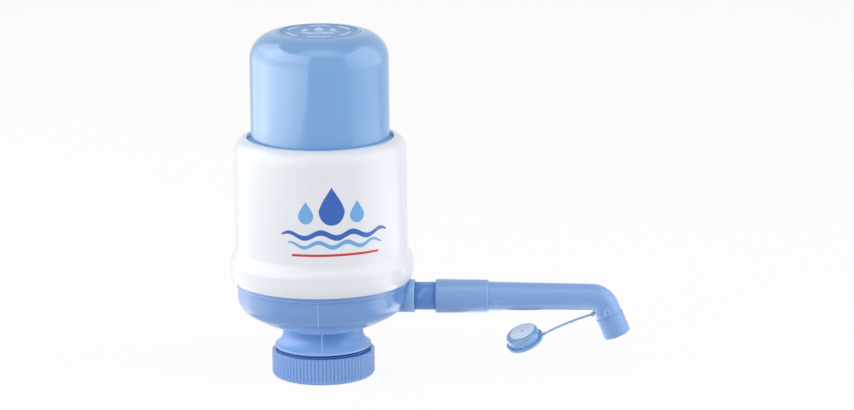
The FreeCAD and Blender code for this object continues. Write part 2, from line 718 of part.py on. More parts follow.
def riser_groove():
    return hub_top + dim.riser_entry / 2


def ring_centre(radius):
    """Where an O-ring's cord lies in a groove cut into a part of this radius."""
    return radius - dim.groove_depth + dim.o_ring / 2 + dim.slip_gap


def make_waterway_elbow():
    """Bend from the riser to the boss, with a cup over the riser's end."""
    body = new_body("waterway_elbow")
    cup_top = hub_top + dim.elbow_cup_height
    bend_level = spout_level - dim.elbow_bend
    arm_end = boss_start + dim.socket_depth - dim.slip_gap
    cup_radius = dim.riser_radius + dim.slip_gap + dim.elbow_cup_wall
    revolve(body, "cup", box_corners(0, hub_top, cup_radius, cup_top))
    path = new_sketch(body, "elbow_path", "XZ_Plane")
    draw_elbow_path(path, bend_level, arm_end)
    outer = new_sketch(body, "elbow_outline", "XY_Plane", hub_top)
    draw_circles(outer, [(0, 0, dim.elbow_arm)])
    sweep(body, "elbow", outer, path, "AdditivePipe")
    inner = new_sketch(body, "elbow_bore_outline", "XY_Plane", hub_top)
    draw_circles(inner, [(0, 0, dim.water_radius)])
    before = volume_of(body)
    bore = sweep(body, "elbow_bore", inner, path, "SubtractivePipe")
    check_cut(body, bore, before)
    cup = new_sketch(body, "cup_bore_outline", "XY_Plane", hub_top)
    draw_circles(cup, [(0, 0, dim.riser_radius + dim.slip_gap)])
    pocket(body, "cup_bore", cup, dim.riser_entry)
    groove_outline = new_sketch(body, "elbow_groove_outline", "XZ_Plane")
    middle = elbow_groove()
    draw_outline(groove_outline, box_corners(
        middle - dim.groove_width / 2, spout_level + dim.elbow_arm - dim.groove_depth,
        middle + dim.groove_width / 2, spout_level + dim.elbow_arm + dim.slip_gap))
    add_axis(groove_outline, spout_level)
    revolve_sketch(body, "elbow_groove", groove_outline, "Axis0", "Groove")


def elbow_groove():
    return boss_start + dim.socket_depth / 2


def draw_elbow_path(sketch, bend_level, arm_end):
    """Upright line, quarter arc and level line, open at both ends."""
    bend = dim.elbow_bend
    foot = FreeCAD.Vector(0, hub_top.value, 0)
    low = FreeCAD.Vector(0, bend_level.value, 0)
    high = FreeCAD.Vector(bend.value, spout_level.value, 0)
    tip = FreeCAD.Vector(arm_end.value, spout_level.value, 0)
    sketch.addGeometry([
        Part.LineSegment(foot, low),
        arc_edge(low, high, bend.value, RIGHT),
        Part.LineSegment(high, tip),
    ], False)
    constraints = [
        Sketcher.Constraint("Coincident", 0, 2, 1, 2),
        Sketcher.Constraint("Coincident", 1, 1, 2, 1),
        Sketcher.Constraint("Radius", 1, bend.value),
    ]
    formulas = [None, None, bend.formula]
    pin_point(sketch, constraints, formulas, 0, 1, size(0), hub_top)
    pin_point(sketch, constraints, formulas, 0, 2, size(0), bend_level)
    pin_point(sketch, constraints, formulas, 1, 1, bend, spout_level)
    pin_point(sketch, constraints, formulas, 2, 2, arm_end, spout_level)
    apply_constraints(sketch, constraints, formulas)


def sweep(body, name, outline, path, kind):
    feature = body.newObject("PartDesign::" + kind, name)
    feature.Profile = outline
    feature.Spine = path
    return feature


def make_deck_gasket():
    body = new_body("deck_gasket")
    revolve(body, "ring", box_corners(land_radius, rim_level, flange_radius - dim.deck_margin,
                                      deck_level))
    outline = new_sketch(body, "screw_hole_outline", "XY_Plane", rim_level)
    draw_circles(outline, [(screw_circle, 0, dim.screw_radius + dim.screw_gap)])
    hole = pocket(body, "screw_hole", outline, dim.gasket_height)
    repeat_round(body, "screw_holes", [hole], dim.screw_count)


def make_deck_plate():
    """Plate that closes the bowl. Its ring holds the bellows and its middle the outlet valve."""
    body = new_body("deck_plate")
    revolve(body, "plate", [
        (0, deck_level),
        (flange_radius - dim.deck_margin, deck_level),
        (flange_radius - dim.deck_margin, deck_top),
        (spigot_radius, deck_top),
        (spigot_radius, deck_top + dim.spigot_height),
        (spigot_radius - dim.spigot_wall, deck_top + dim.spigot_height),
        (spigot_radius - dim.spigot_wall, deck_top),
        (0, deck_top),
    ])
    outline = new_sketch(body, "screw_hole_outline", "XY_Plane", deck_level)
    draw_circles(outline, [(screw_circle, 0, dim.screw_radius + dim.screw_gap)])
    hole = pocket(body, "screw_hole", outline, dim.deck_height)
    repeat_round(body, "screw_holes", [hole], dim.screw_count)
    cut_valve_seat(body, deck_level, dim.deck_height)


def cut_valve_seat(body, seat_level, thickness):
    """Hole for a valve's stem, with air holes round it."""
    stem = new_sketch(body, "stem_hole_outline", "XY_Plane", seat_level)
    draw_circles(stem, [(0, 0, dim.valve_stem + dim.screw_gap)])
    pocket(body, "stem_hole", stem, thickness)
    air = new_sketch(body, "air_hole_outline", "XY_Plane", seat_level)
    draw_circles(air, [(dim.air_hole_circle, 0, dim.air_hole_radius)])
    air_hole = pocket(body, "air_hole", air, thickness)
    repeat_round(body, "air_hole_ring", [air_hole], dim.air_holes)


def make_plate_screws():
    """Pan-head screws, each from its head on the deck plate down into the rim's land."""
    body = new_body("plate_screws")
    body.AllowCompound = True
    shank = new_sketch(body, "shank_outline", "XY_Plane",
                       deck_top - dim.screw_length + dim.gasket_height)
    draw_circles(shank, [(screw_circle, 0, dim.screw_radius)])
    shank_pad = pad(body, "shank", shank, dim.screw_length - dim.gasket_height)
    head = new_sketch(body, "head_outline", "XY_Plane", deck_top)
    draw_circles(head, [(screw_circle, 0, dim.screw_head_radius)])
    head_pad = pad(body, "head", head, dim.screw_head_height)
    repeat_round(body, "screw_ring", [shank_pad, head_pad], dim.screw_count)


def make_valve(name, seat_level, thickness):
    """Mushroom valve that hangs under a plate by its stem, closed against the plate."""
    body = new_body(name)
    disc_top = seat_level - dim.slip_gap
    head_level = seat_level + thickness + dim.valve_lift + dim.valve_play
    revolve(body, "mushroom", [
        (0, disc_top - dim.valve_disc),
        (dim.valve_radius / 2, disc_top - dim.valve_disc),
        (dim.valve_radius, disc_top - dim.valve_disc / 2),
        (dim.valve_radius, disc_top),
        (dim.valve_stem, disc_top),
        (dim.valve_stem, head_level),
        (dim.valve_head, head_level),
        (dim.valve_stem, head_level + dim.valve_head_height),
        (0, head_level + dim.valve_head_height),
    ])


def make_bellows():
    """Rubber bellows with a neck at each end. One fold is turned and then repeated upwards."""
    body = new_body("bellows")
    wall = dim.bellows_wall
    folds_foot = deck_top + dim.spigot_height
    folds_top = press_level - dim.press_spigot_height
    pitch = (folds_top - folds_foot) / dim.bellows_folds
    valley = bellows_valley
    peak = bellows_peak
    crest = dim.bellows_crest
    low_crest = folds_foot + pitch / 2 - crest / 2
    fold = revolve(body, "fold", [
        (valley - wall, folds_foot),
        (valley, folds_foot),
        (peak, low_crest),
        (peak, low_crest + crest),
        (valley, folds_foot + pitch),
        (valley - wall, folds_foot + pitch),
        (peak - wall, low_crest + crest),
        (peak - wall, low_crest),
    ])
    pattern = body.newObject("PartDesign::LinearPattern", "folds")
    pattern.Originals = [fold]
    pattern.Direction = (origin_of(body, "Z_Axis"), [""])
    pattern.setExpression("Length", (pitch * (dim.bellows_folds - 1)).formula)
    pattern.setExpression("Occurrences", dim.bellows_folds.formula)
    body.Tip = pattern
    lower = new_sketch(body, "lower_neck_outline", "XZ_Plane")
    draw_outline(lower, box_corners(valley - wall, deck_top, valley, folds_foot))
    revolve_sketch(body, "lower_neck", lower, "V_Axis")
    neck = press_spigot_radius + dim.seat_gap
    upper = new_sketch(body, "upper_neck_outline", "XZ_Plane")
    draw_outline(upper, [
        (neck, folds_top),
        (valley, folds_top),
        (valley, folds_top + wall),
        (neck + wall, folds_top + wall),
        (neck + wall, press_level),
        (neck, press_level),
    ])
    revolve_sketch(body, "upper_neck", upper, "V_Axis")


def make_bellows_clamp_ring():
    body = new_body("bellows_clamp_ring")
    inner = bellows_valley + dim.seat_gap
    revolve(body, "ring", box_corners(inner, deck_top, inner + dim.clamp_wall,
                                      deck_top + dim.clamp_height))


def make_press_plate():
    """Plate that closes the bellows under the cap, with a ring in the bellows' upper neck."""
    body = new_body("press_plate")
    spigot = press_spigot_radius
    plate = spigot + dim.press_margin
    revolve(body, "plate", [
        (0, press_level),
        (spigot - dim.spigot_wall, press_level),
        (spigot - dim.spigot_wall, press_level - dim.press_spigot_height),
        (spigot, press_level - dim.press_spigot_height),
        (spigot, press_level),
        (plate, press_level),
        (plate, press_top),
        (0, press_top),
    ])
    cut_valve_seat(body, press_level, dim.press_height)


def make_outer_shell():
    """White housing: a lip snapped under the base's flange, a wide band and a slim upper wall."""
    body = new_body("outer_shell")
    wall = dim.shell_wall
    lip_inner = band_radius + dim.shell_fit
    band_inner = shell_band_radius - wall
    middle_radius = (shell_band_radius + shell_radius) / 2
    middle_level = (swell_start + swell_end) / 2
    lean_across = (swell_radius * 2 - dim.shell_waist) / (swell_radius * 2)
    lean_up = dim.shell_swell / (swell_radius * 2)
    revolve(body, "wall", [
        (lip_inner, shell_level),
        (lip_inner + dim.lip_width, shell_level),
        Arc(shell_band_radius, shell_band_start, dim.shell_band_round, LEFT),
        (shell_band_radius, swell_start),
        Arc(middle_radius, middle_level, swell_radius, LEFT),
        Arc(shell_radius, swell_end, swell_radius, RIGHT),
        (shell_radius, shoulder_level),
        Arc(hole_radius, shell_top, dim.shell_shoulder, LEFT),
        (hole_radius, shell_top - wall),
        Arc(shell_inside, shoulder_level, dim.shell_shoulder - wall, RIGHT),
        (shell_inside, swell_end),
        Arc(middle_radius - wall * lean_across, middle_level - wall * lean_up,
            swell_radius + wall, LEFT),
        Arc(band_inner, swell_start, swell_radius - wall, RIGHT),
        (band_inner, flange_level),
        (lip_inner, flange_level),
    ])
    clip = new_sketch(body, "clip_outline", "XY_Plane", deck_top)
    draw_outline(clip, box_corners(band_inner - dim.clip_reach, -dim.clip_wall / 2,
                                   band_inner + wall / 2, dim.clip_wall / 2))
    clip_pad = pad(body, "clip", clip, dim.clip_height)
    repeat_round(body, "clips", [clip_pad], dim.clip_count)


def make_push_cap():
    """Dome with a guide that the shell's shoulder keeps in, and a ribbed ring over the bellows."""
    body = new_body("push_cap")
    wall = dim.cap_wall
    radius = cap_radius
    shoulder = cap_shoulder_radius
    inner_guide = guide_radius - wall
    root = dim.hole_clearance - dim.cap_gap
    rim_outer = cap_flat - dim.rim_inset
    revolve(body, "dome", [
        (inner_guide, guide_foot),
        (guide_radius, guide_foot),
        (guide_radius, shoulder_level),
        Arc(guide_radius - shoulder, cap_shoulder_top, shoulder, LEFT),
        (radius + root, cap_shoulder_top),
        Arc(radius, cap_shoulder_top + root, root, RIGHT),
        (radius, cap_top - dim.cap_corner),
        Arc(cap_flat, cap_top, dim.cap_corner, LEFT),
        (rim_outer, cap_top),
        (rim_outer, cap_top + dim.rim_height),
        (rim_outer - dim.rim_width, cap_top + dim.rim_height),
        (rim_outer - dim.rim_width, cap_top),
        (0, cap_top),
        (0, cap_ceiling),
        (cap_flat, cap_ceiling),
        Arc(radius - wall, cap_top - dim.cap_corner, dim.cap_corner - wall, RIGHT),
        (radius - wall, cap_shoulder_top - wall),
        (guide_radius - shoulder, cap_shoulder_top - wall),
        Arc(inner_guide, shoulder_level, shoulder - wall, RIGHT),
    ])
    hub = new_sketch(body, "hub_outline", "XZ_Plane")
    draw_outline(hub, box_corners(dim.cap_hub_radius - dim.cap_hub_wall, press_top,
                                  dim.cap_hub_radius, cap_ceiling + wall / 2))
    revolve_sketch(body, "hub", hub, "V_Axis")
    rib = new_sketch(body, "rib_outline", "XY_Plane", press_top)
    draw_outline(rib, box_corners(dim.cap_hub_radius - dim.cap_hub_wall / 2, -dim.clip_wall / 2,
                                  dim.cap_hub_radius + dim.cap_rib_reach, dim.clip_wall / 2))
    rib_pad = pad(body, "rib", rib, cap_ceiling + wall / 2 - press_top)
    repeat_round(body, "ribs", [rib_pad], dim.cap_ribs)


def make_spout_coupling():
    """Sleeve that turns on the stub and holds the tube."""
    body = new_body("spout_coupling")
    edge = dim.coupling_edge
    web_start = stub_end + dim.slip_gap
    web_end = tube_start - dim.slip_gap
    stub_bore = dim.stub_radius + dim.slip_gap
    tube_bore = dim.tube_radius + dim.slip_gap
    revolve(body, "sleeve", [
        (coupling_start, stub_bore),
        (web_start, stub_bore),
        (web_start, dim.tube_radius - dim.tube_wall),
        (web_end, dim.tube_radius - dim.tube_wall),
        (web_end, tube_bore),
        (coupling_end, tube_bore),
        (coupling_end, dim.coupling_end_radius - edge),
        (coupling_end - edge, dim.coupling_end_radius),
        (coupling_start + edge, dim.coupling_radius),
        (coupling_start, dim.coupling_radius - edge),
    ], "H_Axis")
    place(body, up=spout_level)


def make_spout_tube():
    """Slightly tapered tube with a bend at its end. It is drawn with its axis at height 0."""
    body = new_body("spout_tube")
    wall = dim.tube_wall
    revolve(body, "straight", [
        (tube_start, 0),
        (bend_start, 0),
        (bend_start, dim.tube_tip_radius),
        (coupling_end, dim.tube_radius),
        (tube_start, dim.tube_radius),
    ], "H_Axis")
    bend = new_sketch(body, "bend_path", "XZ_Plane")
    draw_spout_path(bend)
    outer = new_sketch(body, "bend_outline", "YZ_Plane", bend_start)
    draw_circles(outer, [(0, 0, dim.tube_tip_radius)])
    sweep(body, "bend", outer, bend, "AdditivePipe")
    tip_path = new_sketch(body, "tip_path", "XZ_Plane")
    draw_leg(tip_path, nozzle_distance, nozzle_distance + dim.nozzle_length - dim.nozzle_lip)
    tip = new_sketch(body, "tip_outline", "XY_Plane")
    tip_radius = dim.nozzle_radius - dim.tip_step - dim.slip_gap
    draw_circles(tip, [(0, 0, tip_radius)])
    for name, amount in (("x", nozzle_across), ("y", size(0)), ("z", -nozzle_distance * flow_down)):
        tip.setExpression("AttachmentOffset.Base." + name, amount.formula)
    tip.AttachmentOffset = FreeCAD.Placement(
        tip.AttachmentOffset.Base, FreeCAD.Rotation(FreeCAD.Vector(0, 1, 0), 1))
    tip.setExpression("AttachmentOffset.Rotation.Angle", (dim.spout_turn + QUARTER_TURN).formula)
    sweep(body, "tip", tip, tip_path, "AdditivePipe")
    before = volume_of(body)
    straight_bore = new_sketch(body, "straight_bore_outline", "XZ_Plane")
    draw_outline(straight_bore, [
        (tube_start, 0),
        (bend_start, 0),
        (bend_start, dim.tube_tip_radius - wall),
        (coupling_end, dim.tube_radius - wall),
        (tube_start, dim.tube_radius - wall),
    ])
    revolve_sketch(body, "straight_bore", straight_bore, "H_Axis", "Groove")
    bore_path = new_sketch(body, "bore_path", "XZ_Plane")
    draw_spout_path(bore_path, dim.nozzle_length - dim.nozzle_lip)
    bore = new_sketch(body, "bore_outline", "YZ_Plane", bend_start)
    draw_circles(bore, [(0, 0, dim.tube_tip_radius - wall)])
    check_cut(body, sweep(body, "bore", bore, bore_path, "SubtractivePipe"), before)
    place(body, up=spout_level)


def leg_point(distance):
    """Point of the spout's centre line after its bend, by the distance from the bend's corner."""
    return bend_corner + distance * flow_across, -(distance * flow_down)


def draw_spout_path(sketch, extra=0):
    """The bend's arc and the straight leg after it, from the end of the straight tube."""
    bend = dim.spout_bend
    leaves = leg_point(bend_tangent)
    ends = leg_point(nozzle_distance + extra)
    start = FreeCAD.Vector(bend_start.value, 0, 0)
    middle = FreeCAD.Vector(leaves[0].value, leaves[1].value, 0)
    end = FreeCAD.Vector(ends[0].value, ends[1].value, 0)
    sketch.addGeometry([
        arc_edge(start, middle, bend.value, RIGHT),
        Part.LineSegment(middle, end),
    ], False)
    constraints = [
        Sketcher.Constraint("Coincident", 0, 1, 1, 1),
        Sketcher.Constraint("Radius", 0, bend.value),
    ]
    formulas = [None, bend.formula]
    pin_point(sketch, constraints, formulas, 0, 2, bend_start, size(0))
    pin_point(sketch, constraints, formulas, 1, 1, *leaves)
    pin_point(sketch, constraints, formulas, 1, 2, *ends)
    apply_constraints(sketch, constraints, formulas)


def draw_leg(sketch, near, far):
    """Straight line along the spout's last leg."""
    start = leg_point(near)
    end = leg_point(far)
    sketch.addGeometry(Part.LineSegment(
        FreeCAD.Vector(start[0].value, start[1].value, 0),
        FreeCAD.Vector(end[0].value, end[1].value, 0)), False)
    constraints = []
    formulas = []
    pin_point(sketch, constraints, formulas, 0, 1, *start)
    pin_point(sketch, constraints, formulas, 0, 2, *end)
    apply_constraints(sketch, constraints, formulas)


def make_spout_nozzle():
    """Outlet sleeve. Its own Z axis runs with the water."""
    body = new_body("spout_nozzle")
    bore = dim.nozzle_radius - dim.tip_step
    length = dim.nozzle_length
    edge = dim.nozzle_lip_depth / 2
    revolve(body, "sleeve", [
        (bore, 0),
        (dim.nozzle_radius, 0),
        (dim.nozzle_radius, length - edge),
        (dim.nozzle_radius - edge, length),
        (bore - dim.nozzle_lip_depth, length),
        (bore - dim.nozzle_lip_depth, length - dim.nozzle_lip),
        (bore, length - dim.nozzle_lip),
    ])
    place(body, across=nozzle_across, up=nozzle_level, turn_axis=(0, 1, 0),
          turn=dim.spout_turn + QUARTER_TURN)


def strap_root():
    """Centre of the strap's root, on the inner side of the bend, in the spout's plane."""
    distance = nozzle_distance - dim.strap_back
    stand_off = dim.tube_tip_radius + dim.slip_gap + dim.button_radius
    return (bend_corner + distance * flow_across - stand_off * flow_down,
            spout_level - distance * flow_down - stand_off * flow_across)


def strap_tip():
    across, up = strap_root()
    return across - dim.strap_run, up - dim.strap_fall


def make_cap_strap():
    """Thin bowed strap with a round button at its root and a hinge bead at its tip."""
    body = new_body("cap_strap")
    root_across, root_up = strap_root()
    tip_across, tip_up = strap_tip()
    half = dim.strap_wall / 2
    band = new_sketch(body, "band_outline", "XZ_Plane")
    draw_outline(band, [
        Arc(root_across, root_up - half, dim.strap_curve - half, RIGHT),
        (root_across, root_up + half),
        Arc(tip_across, tip_up + half, dim.strap_curve + half, LEFT),
        (tip_across, tip_up - half),
    ])
    pad(body, "band", band, dim.strap_width, both=True)
    for name, across, up, radius in (
            ("button", root_across, root_up, dim.button_radius),
            ("bead", tip_across, tip_up, dim.bead_radius)):
        outline = new_sketch(body, name + "_outline", "XZ_Plane")
        draw_circles(outline, [(across, up, radius)])
        pad(body, name, outline, dim.strap_width, both=True)


def make_dust_cap():
    """Cup over the outlet. Its own Z axis points out of its closed face."""
    body = new_body("dust_cap")
    wall = dim.dust_wall
    height = dim.dust_height
    revolve(body, "cup", [
        (dim.dust_radius - wall, 0),
        (dim.dust_rim_radius, 0),
        (dim.dust_rim_radius, dim.dust_rim_height),
        (dim.dust_radius, dim.dust_rim_height),
        (dim.dust_radius, height - dim.dust_round),
        Arc(dim.dust_radius - dim.dust_round, height, dim.dust_round, LEFT),
        (0, height),
        (0, height - wall),
        (dim.dust_radius - wall, height - wall),
    ])
    tip_across, tip_up = strap_tip()
    reach = dim.dust_rim_radius + dim.bead_radius + dim.slip_gap
    middle = dim.dust_rim_height / 2
    lean_across = sine(dim.dust_tilt) * cosine(dim.dust_heading)
    lean_forward = sine(dim.dust_tilt) * sine(dim.dust_heading)
    lean_up = cosine(dim.dust_tilt)
    rim_length = root(lean_across * lean_across + lean_up * lean_up)
    place(body, across=tip_across - reach * lean_up / rim_length + middle * lean_across,
          forward=middle * lean_forward,
          up=tip_up - reach * lean_across / rim_length - middle * lean_up,
          turn_axis=(sine(dim.dust_heading), -cosine(dim.dust_heading), 0), turn=dim.dust_tilt)


make_base_housing()
make_screw_collar()
make_grip_ring()
make_neck_seal()
make_riser_tube()
upright_seal("riser_o_ring", ring_centre(dim.riser_radius), riser_groove())
make_waterway_elbow()
spout_seal("elbow_o_ring", ring_centre(dim.elbow_arm), elbow_groove())
spout_seal("spout_o_ring", ring_centre(dim.stub_radius), stub_end - dim.coupling_web)
make_deck_gasket()
make_deck_plate()
make_plate_screws()
make_valve("outlet_valve", deck_level, dim.deck_height)
make_bellows()
make_bellows_clamp_ring()
make_press_plate()
make_valve("inlet_valve", press_level, dim.press_height)
make_outer_shell()
make_push_cap()
make_spout_coupling()
make_spout_tube()
make_spout_nozzle()
make_cap_strap()
make_dust_cap()

doc.recompute()
for thing in doc.Objects:
    if "Invalid" in thing.State or "Error" in thing.State:
        raise RuntimeError(f"{thing.Name} failed: {thing.State}")
bodies = [thing for thing in doc.Objects if thing.TypeId == "PartDesign::Body"]
for body in bodies:
    if body.Shape.isNull() or not body.Shape.isValid() or not body.Shape.Solids:
        raise RuntimeError(f"{body.Label} has no sound solid")
os.makedirs("parts", exist_ok=True)
for body in bodies:
    body.Shape.exportStep(f"parts/{body.Label}.step")
print(len(bodies), "sub-parts")
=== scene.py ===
import json
import math

import bpy
import numpy as np
from mathutils import Matrix, Vector


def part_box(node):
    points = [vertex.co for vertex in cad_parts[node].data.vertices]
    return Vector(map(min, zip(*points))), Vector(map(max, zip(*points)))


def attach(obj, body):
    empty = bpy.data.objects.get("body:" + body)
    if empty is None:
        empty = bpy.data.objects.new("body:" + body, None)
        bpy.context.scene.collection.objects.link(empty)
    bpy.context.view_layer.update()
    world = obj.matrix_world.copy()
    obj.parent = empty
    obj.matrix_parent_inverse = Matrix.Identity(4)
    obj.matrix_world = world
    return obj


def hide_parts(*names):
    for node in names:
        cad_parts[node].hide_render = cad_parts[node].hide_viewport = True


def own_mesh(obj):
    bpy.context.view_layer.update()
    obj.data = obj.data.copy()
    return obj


# Water jug hand pump: finishes, print, moulding marks, studio and camera.
# Metres, in the frame of the CAD model: +Z up, +X along the spout, -Y towards the camera.

MM = 0.001
MICRON = 1e-6
UP = Vector((0, 0, 1))
ALONG_SPOUT = Vector((1, 0, 0))

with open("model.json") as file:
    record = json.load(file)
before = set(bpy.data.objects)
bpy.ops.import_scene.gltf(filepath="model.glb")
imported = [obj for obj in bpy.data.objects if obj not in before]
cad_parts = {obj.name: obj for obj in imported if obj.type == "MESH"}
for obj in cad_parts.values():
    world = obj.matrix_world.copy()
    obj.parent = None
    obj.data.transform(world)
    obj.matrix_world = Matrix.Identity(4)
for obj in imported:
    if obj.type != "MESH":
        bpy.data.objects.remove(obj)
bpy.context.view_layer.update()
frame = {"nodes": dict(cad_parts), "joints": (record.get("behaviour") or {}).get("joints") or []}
nodes = frame["nodes"]

# ---------------------------------------------------------------------------
# Camera of the photograph
# ---------------------------------------------------------------------------

IMAGE_WIDTH = 854  # pixels
FOCAL_PIXELS = 4000.0
SENSOR = 36.0  # mm
CLIP_NEAR, CLIP_FAR = 0.05, 20.0
AIM_HEIGHT = 0.10651  # height of the point on the pump's axis that the camera circles
DISTANCE = 2.478  # from that point
ELEVATION = math.radians(12.82)
TURN = math.radians(5.5)  # the spout points this much towards the camera
YAW = math.radians(1.5136)  # the camera looks this much to the right of the pump's axis
ROLL = math.radians(0.853)

TO_FRAME = Matrix.Rotation(TURN, 3, "Z")  # turns the camera's directions into the pump's


def seen_from_camera(azimuth, distance, height):
    """A place by its azimuth in degrees, distance from the axis and height.

    Azimuth 0 is where the camera stands, and positive is to its right.
    """
    angle = math.radians(azimuth)
    return TO_FRAME @ Vector((distance * math.sin(angle), -distance * math.cos(angle), height))


def add_camera():
    forward = Vector((0, math.cos(ELEVATION), -math.sin(ELEVATION)))
    right = Vector((1, 0, 0))
    up = right.cross(forward)
    looking = math.cos(YAW) * forward + math.sin(YAW) * right
    level = math.cos(YAW) * right - math.sin(YAW) * forward
    across = math.cos(ROLL) * level - math.sin(ROLL) * up
    upright = math.sin(ROLL) * level + math.cos(ROLL) * up
    axes = Matrix([TO_FRAME @ v for v in (across, upright, -looking)]).transposed()
    place = seen_from_camera(0, DISTANCE * math.cos(ELEVATION),
                             AIM_HEIGHT + DISTANCE * math.sin(ELEVATION))
    camera = bpy.data.objects.new("camera", bpy.data.cameras.new("camera"))
    camera.matrix_world = Matrix.Translation(place) @ axes.to_4x4()
    camera.data.sensor_fit = "HORIZONTAL"
    camera.data.sensor_width = SENSOR
    camera.data.lens = FOCAL_PIXELS / IMAGE_WIDTH * SENSOR
    camera.data.clip_start = CLIP_NEAR
    camera.data.clip_end = CLIP_FAR
    bpy.context.scene.collection.objects.link(camera)
    bpy.context.scene.camera = camera


# ---------------------------------------------------------------------------
# Shader nodes
# ---------------------------------------------------------------------------


def linear(red, green, blue):
    """Colour for a shader from 0 to 255 screen values."""
    def one(value):
        share = value / 255
        return share / 12.92 if share <= 0.04045 else ((share + 0.055) / 1.055) ** 2.4
    return (one(red), one(green), one(blue), 1.0)


def grey(value):
    return (value, value, value, 1.0)


def add_node(tree, kind, values=None, links=None, **settings):
    """Adds a shader node with its settings, the constants on its inputs and the links to them."""
    node = tree.nodes.new("ShaderNode" + kind)
    for setting, value in settings.items():
        setattr(node, setting, value)
    for socket, value in (values or {}).items():
        node.inputs[socket].default_value = value
    for socket, source in (links or {}).items():
        tree.links.new(source, node.inputs[socket])
    return node


def add_ramp(tree, source, stops, interpolation):
    """Colours of a ramp that a value from 0 to 1 runs along. Stops are (place, colour)."""
    node = add_node(tree, "ValToRGB", links={0: source})
    node.color_ramp.interpolation = interpolation
    elements = node.color_ramp.elements
    while len(elements) < len(stops):
        elements.new(0.5)
    for element, (place, colour) in zip(elements, stops):
        element.position = place
        element.color = colour
    return node.outputs["Color"]


def new_material(name):
    material = bpy.data.materials.new(name)
    material.use_nodes = True
    material.node_tree.nodes.clear()
    return material, material.node_tree


# ---------------------------------------------------------------------------
# Finishes
# ---------------------------------------------------------------------------

CLOUDS = {"Scale": 28.0, "Detail": 3.0}
SKIN = {"Scale": 420.0, "Detail": 2.0}
SKIN_STRENGTH = 0.6
WEAR = 0.15  # the roughness wanders by this share, up and down

BASE_IOR = 1.6
BASE_GRAIN = 6 * MICRON
RAMP_TOP = 70 * MM  # height at the end of the base's ramps
# Painted light and shade: the base's own blue at both ends, painted light on the skirt and the
# bowl's foot, and painted shade on the neck under the bowl.
BASE_PAINTED_LIGHT_AND_SHADE = (  # height in mm, screen colour
    (18.2, (110, 152, 210)), (18.9, (150, 192, 238)), (21.5, (134, 180, 232)),
    (24.5, (100, 150, 214)), (28.5, (80, 134, 204)), (30.8, (80, 134, 204)),
    (31.3, (166, 204, 242)), (35.0, (158, 198, 240)), (38.0, (136, 175, 226)),
    (41.8, (110, 152, 210)))
BASE_ROUGHNESS = ((18.5, 0.38), (31.0, 0.38), (40.0, 0.20))  # height in mm, roughness


def start_plastic(name, grain, ior, metallic=0.0):
    """A shader with a fine skin of the given depth. Its colour and roughness are still to come."""
    material, tree = new_material(name)
    place = add_node(tree, "TexCoord").outputs["Object"]
    skin = add_node(tree, "TexNoise", SKIN, {"Vector": place})
    bump = add_node(tree, "Bump", {"Strength": SKIN_STRENGTH, "Distance": grain},
                    {"Height": skin.outputs["Fac"]})
    shader = add_node(tree, "BsdfPrincipled", {"Metallic": metallic, "IOR": ior},
                      {"Normal": bump.outputs["Normal"]})
    add_node(tree, "OutputMaterial", links={"Surface": shader.outputs[0]})
    return material, tree, shader, place


def plastic(name, colour, roughness, grain, mottle=0.02, ior=1.49, metallic=0.0):
    """Moulded plastic or metal: a shade that wanders a little, and a roughness with faint wear."""
    material, tree, shader, place = start_plastic(name, grain, ior, metallic)
    clouds = add_node(tree, "TexNoise", CLOUDS, {"Vector": place}).outputs["Fac"]
    darker = [value * (1 - mottle) for value in colour[:3]] + [1]
    lighter = [min(1, value * (1 + mottle)) for value in colour[:3]] + [1]
    shade = add_node(tree, "Mix", {"A": darker, "B": lighter}, {"Factor": clouds},
                     data_type="RGBA")
    wear = add_node(tree, "MapRange",
                    {"To Min": roughness * (1 - WEAR), "To Max": roughness * (1 + WEAR)},
                    {"Value": clouds})
    tree.links.new(shade.outputs["Result"], shader.inputs["Base Color"])
    tree.links.new(wear.outputs["Result"], shader.inputs["Roughness"])
    return material


def base_plastic():
    """The base's plastic, with painted light and shade by height: a dull neck painted deep with
    shade, between a skirt and the bowl's foot painted light.
    """
    material, tree, shader, place = start_plastic("blue_plastic", BASE_GRAIN, BASE_IOR)
    height = add_node(tree, "SeparateXYZ", links={0: place}).outputs["Z"]
    share = add_node(tree, "MapRange", {"From Min": 0.0, "From Max": RAMP_TOP},
                     {"Value": height}).outputs["Result"]
    for socket, stops in (
            ("Base Color", [(z, linear(*tone)) for z, tone in BASE_PAINTED_LIGHT_AND_SHADE]),
            ("Roughness", [(z, grey(roughness)) for z, roughness in BASE_ROUGHNESS])):
        stops = [(z * MM / RAMP_TOP, colour) for z, colour in stops]
        tree.links.new(add_ramp(tree, share, stops, "LINEAR"), shader.inputs[socket])
    return material


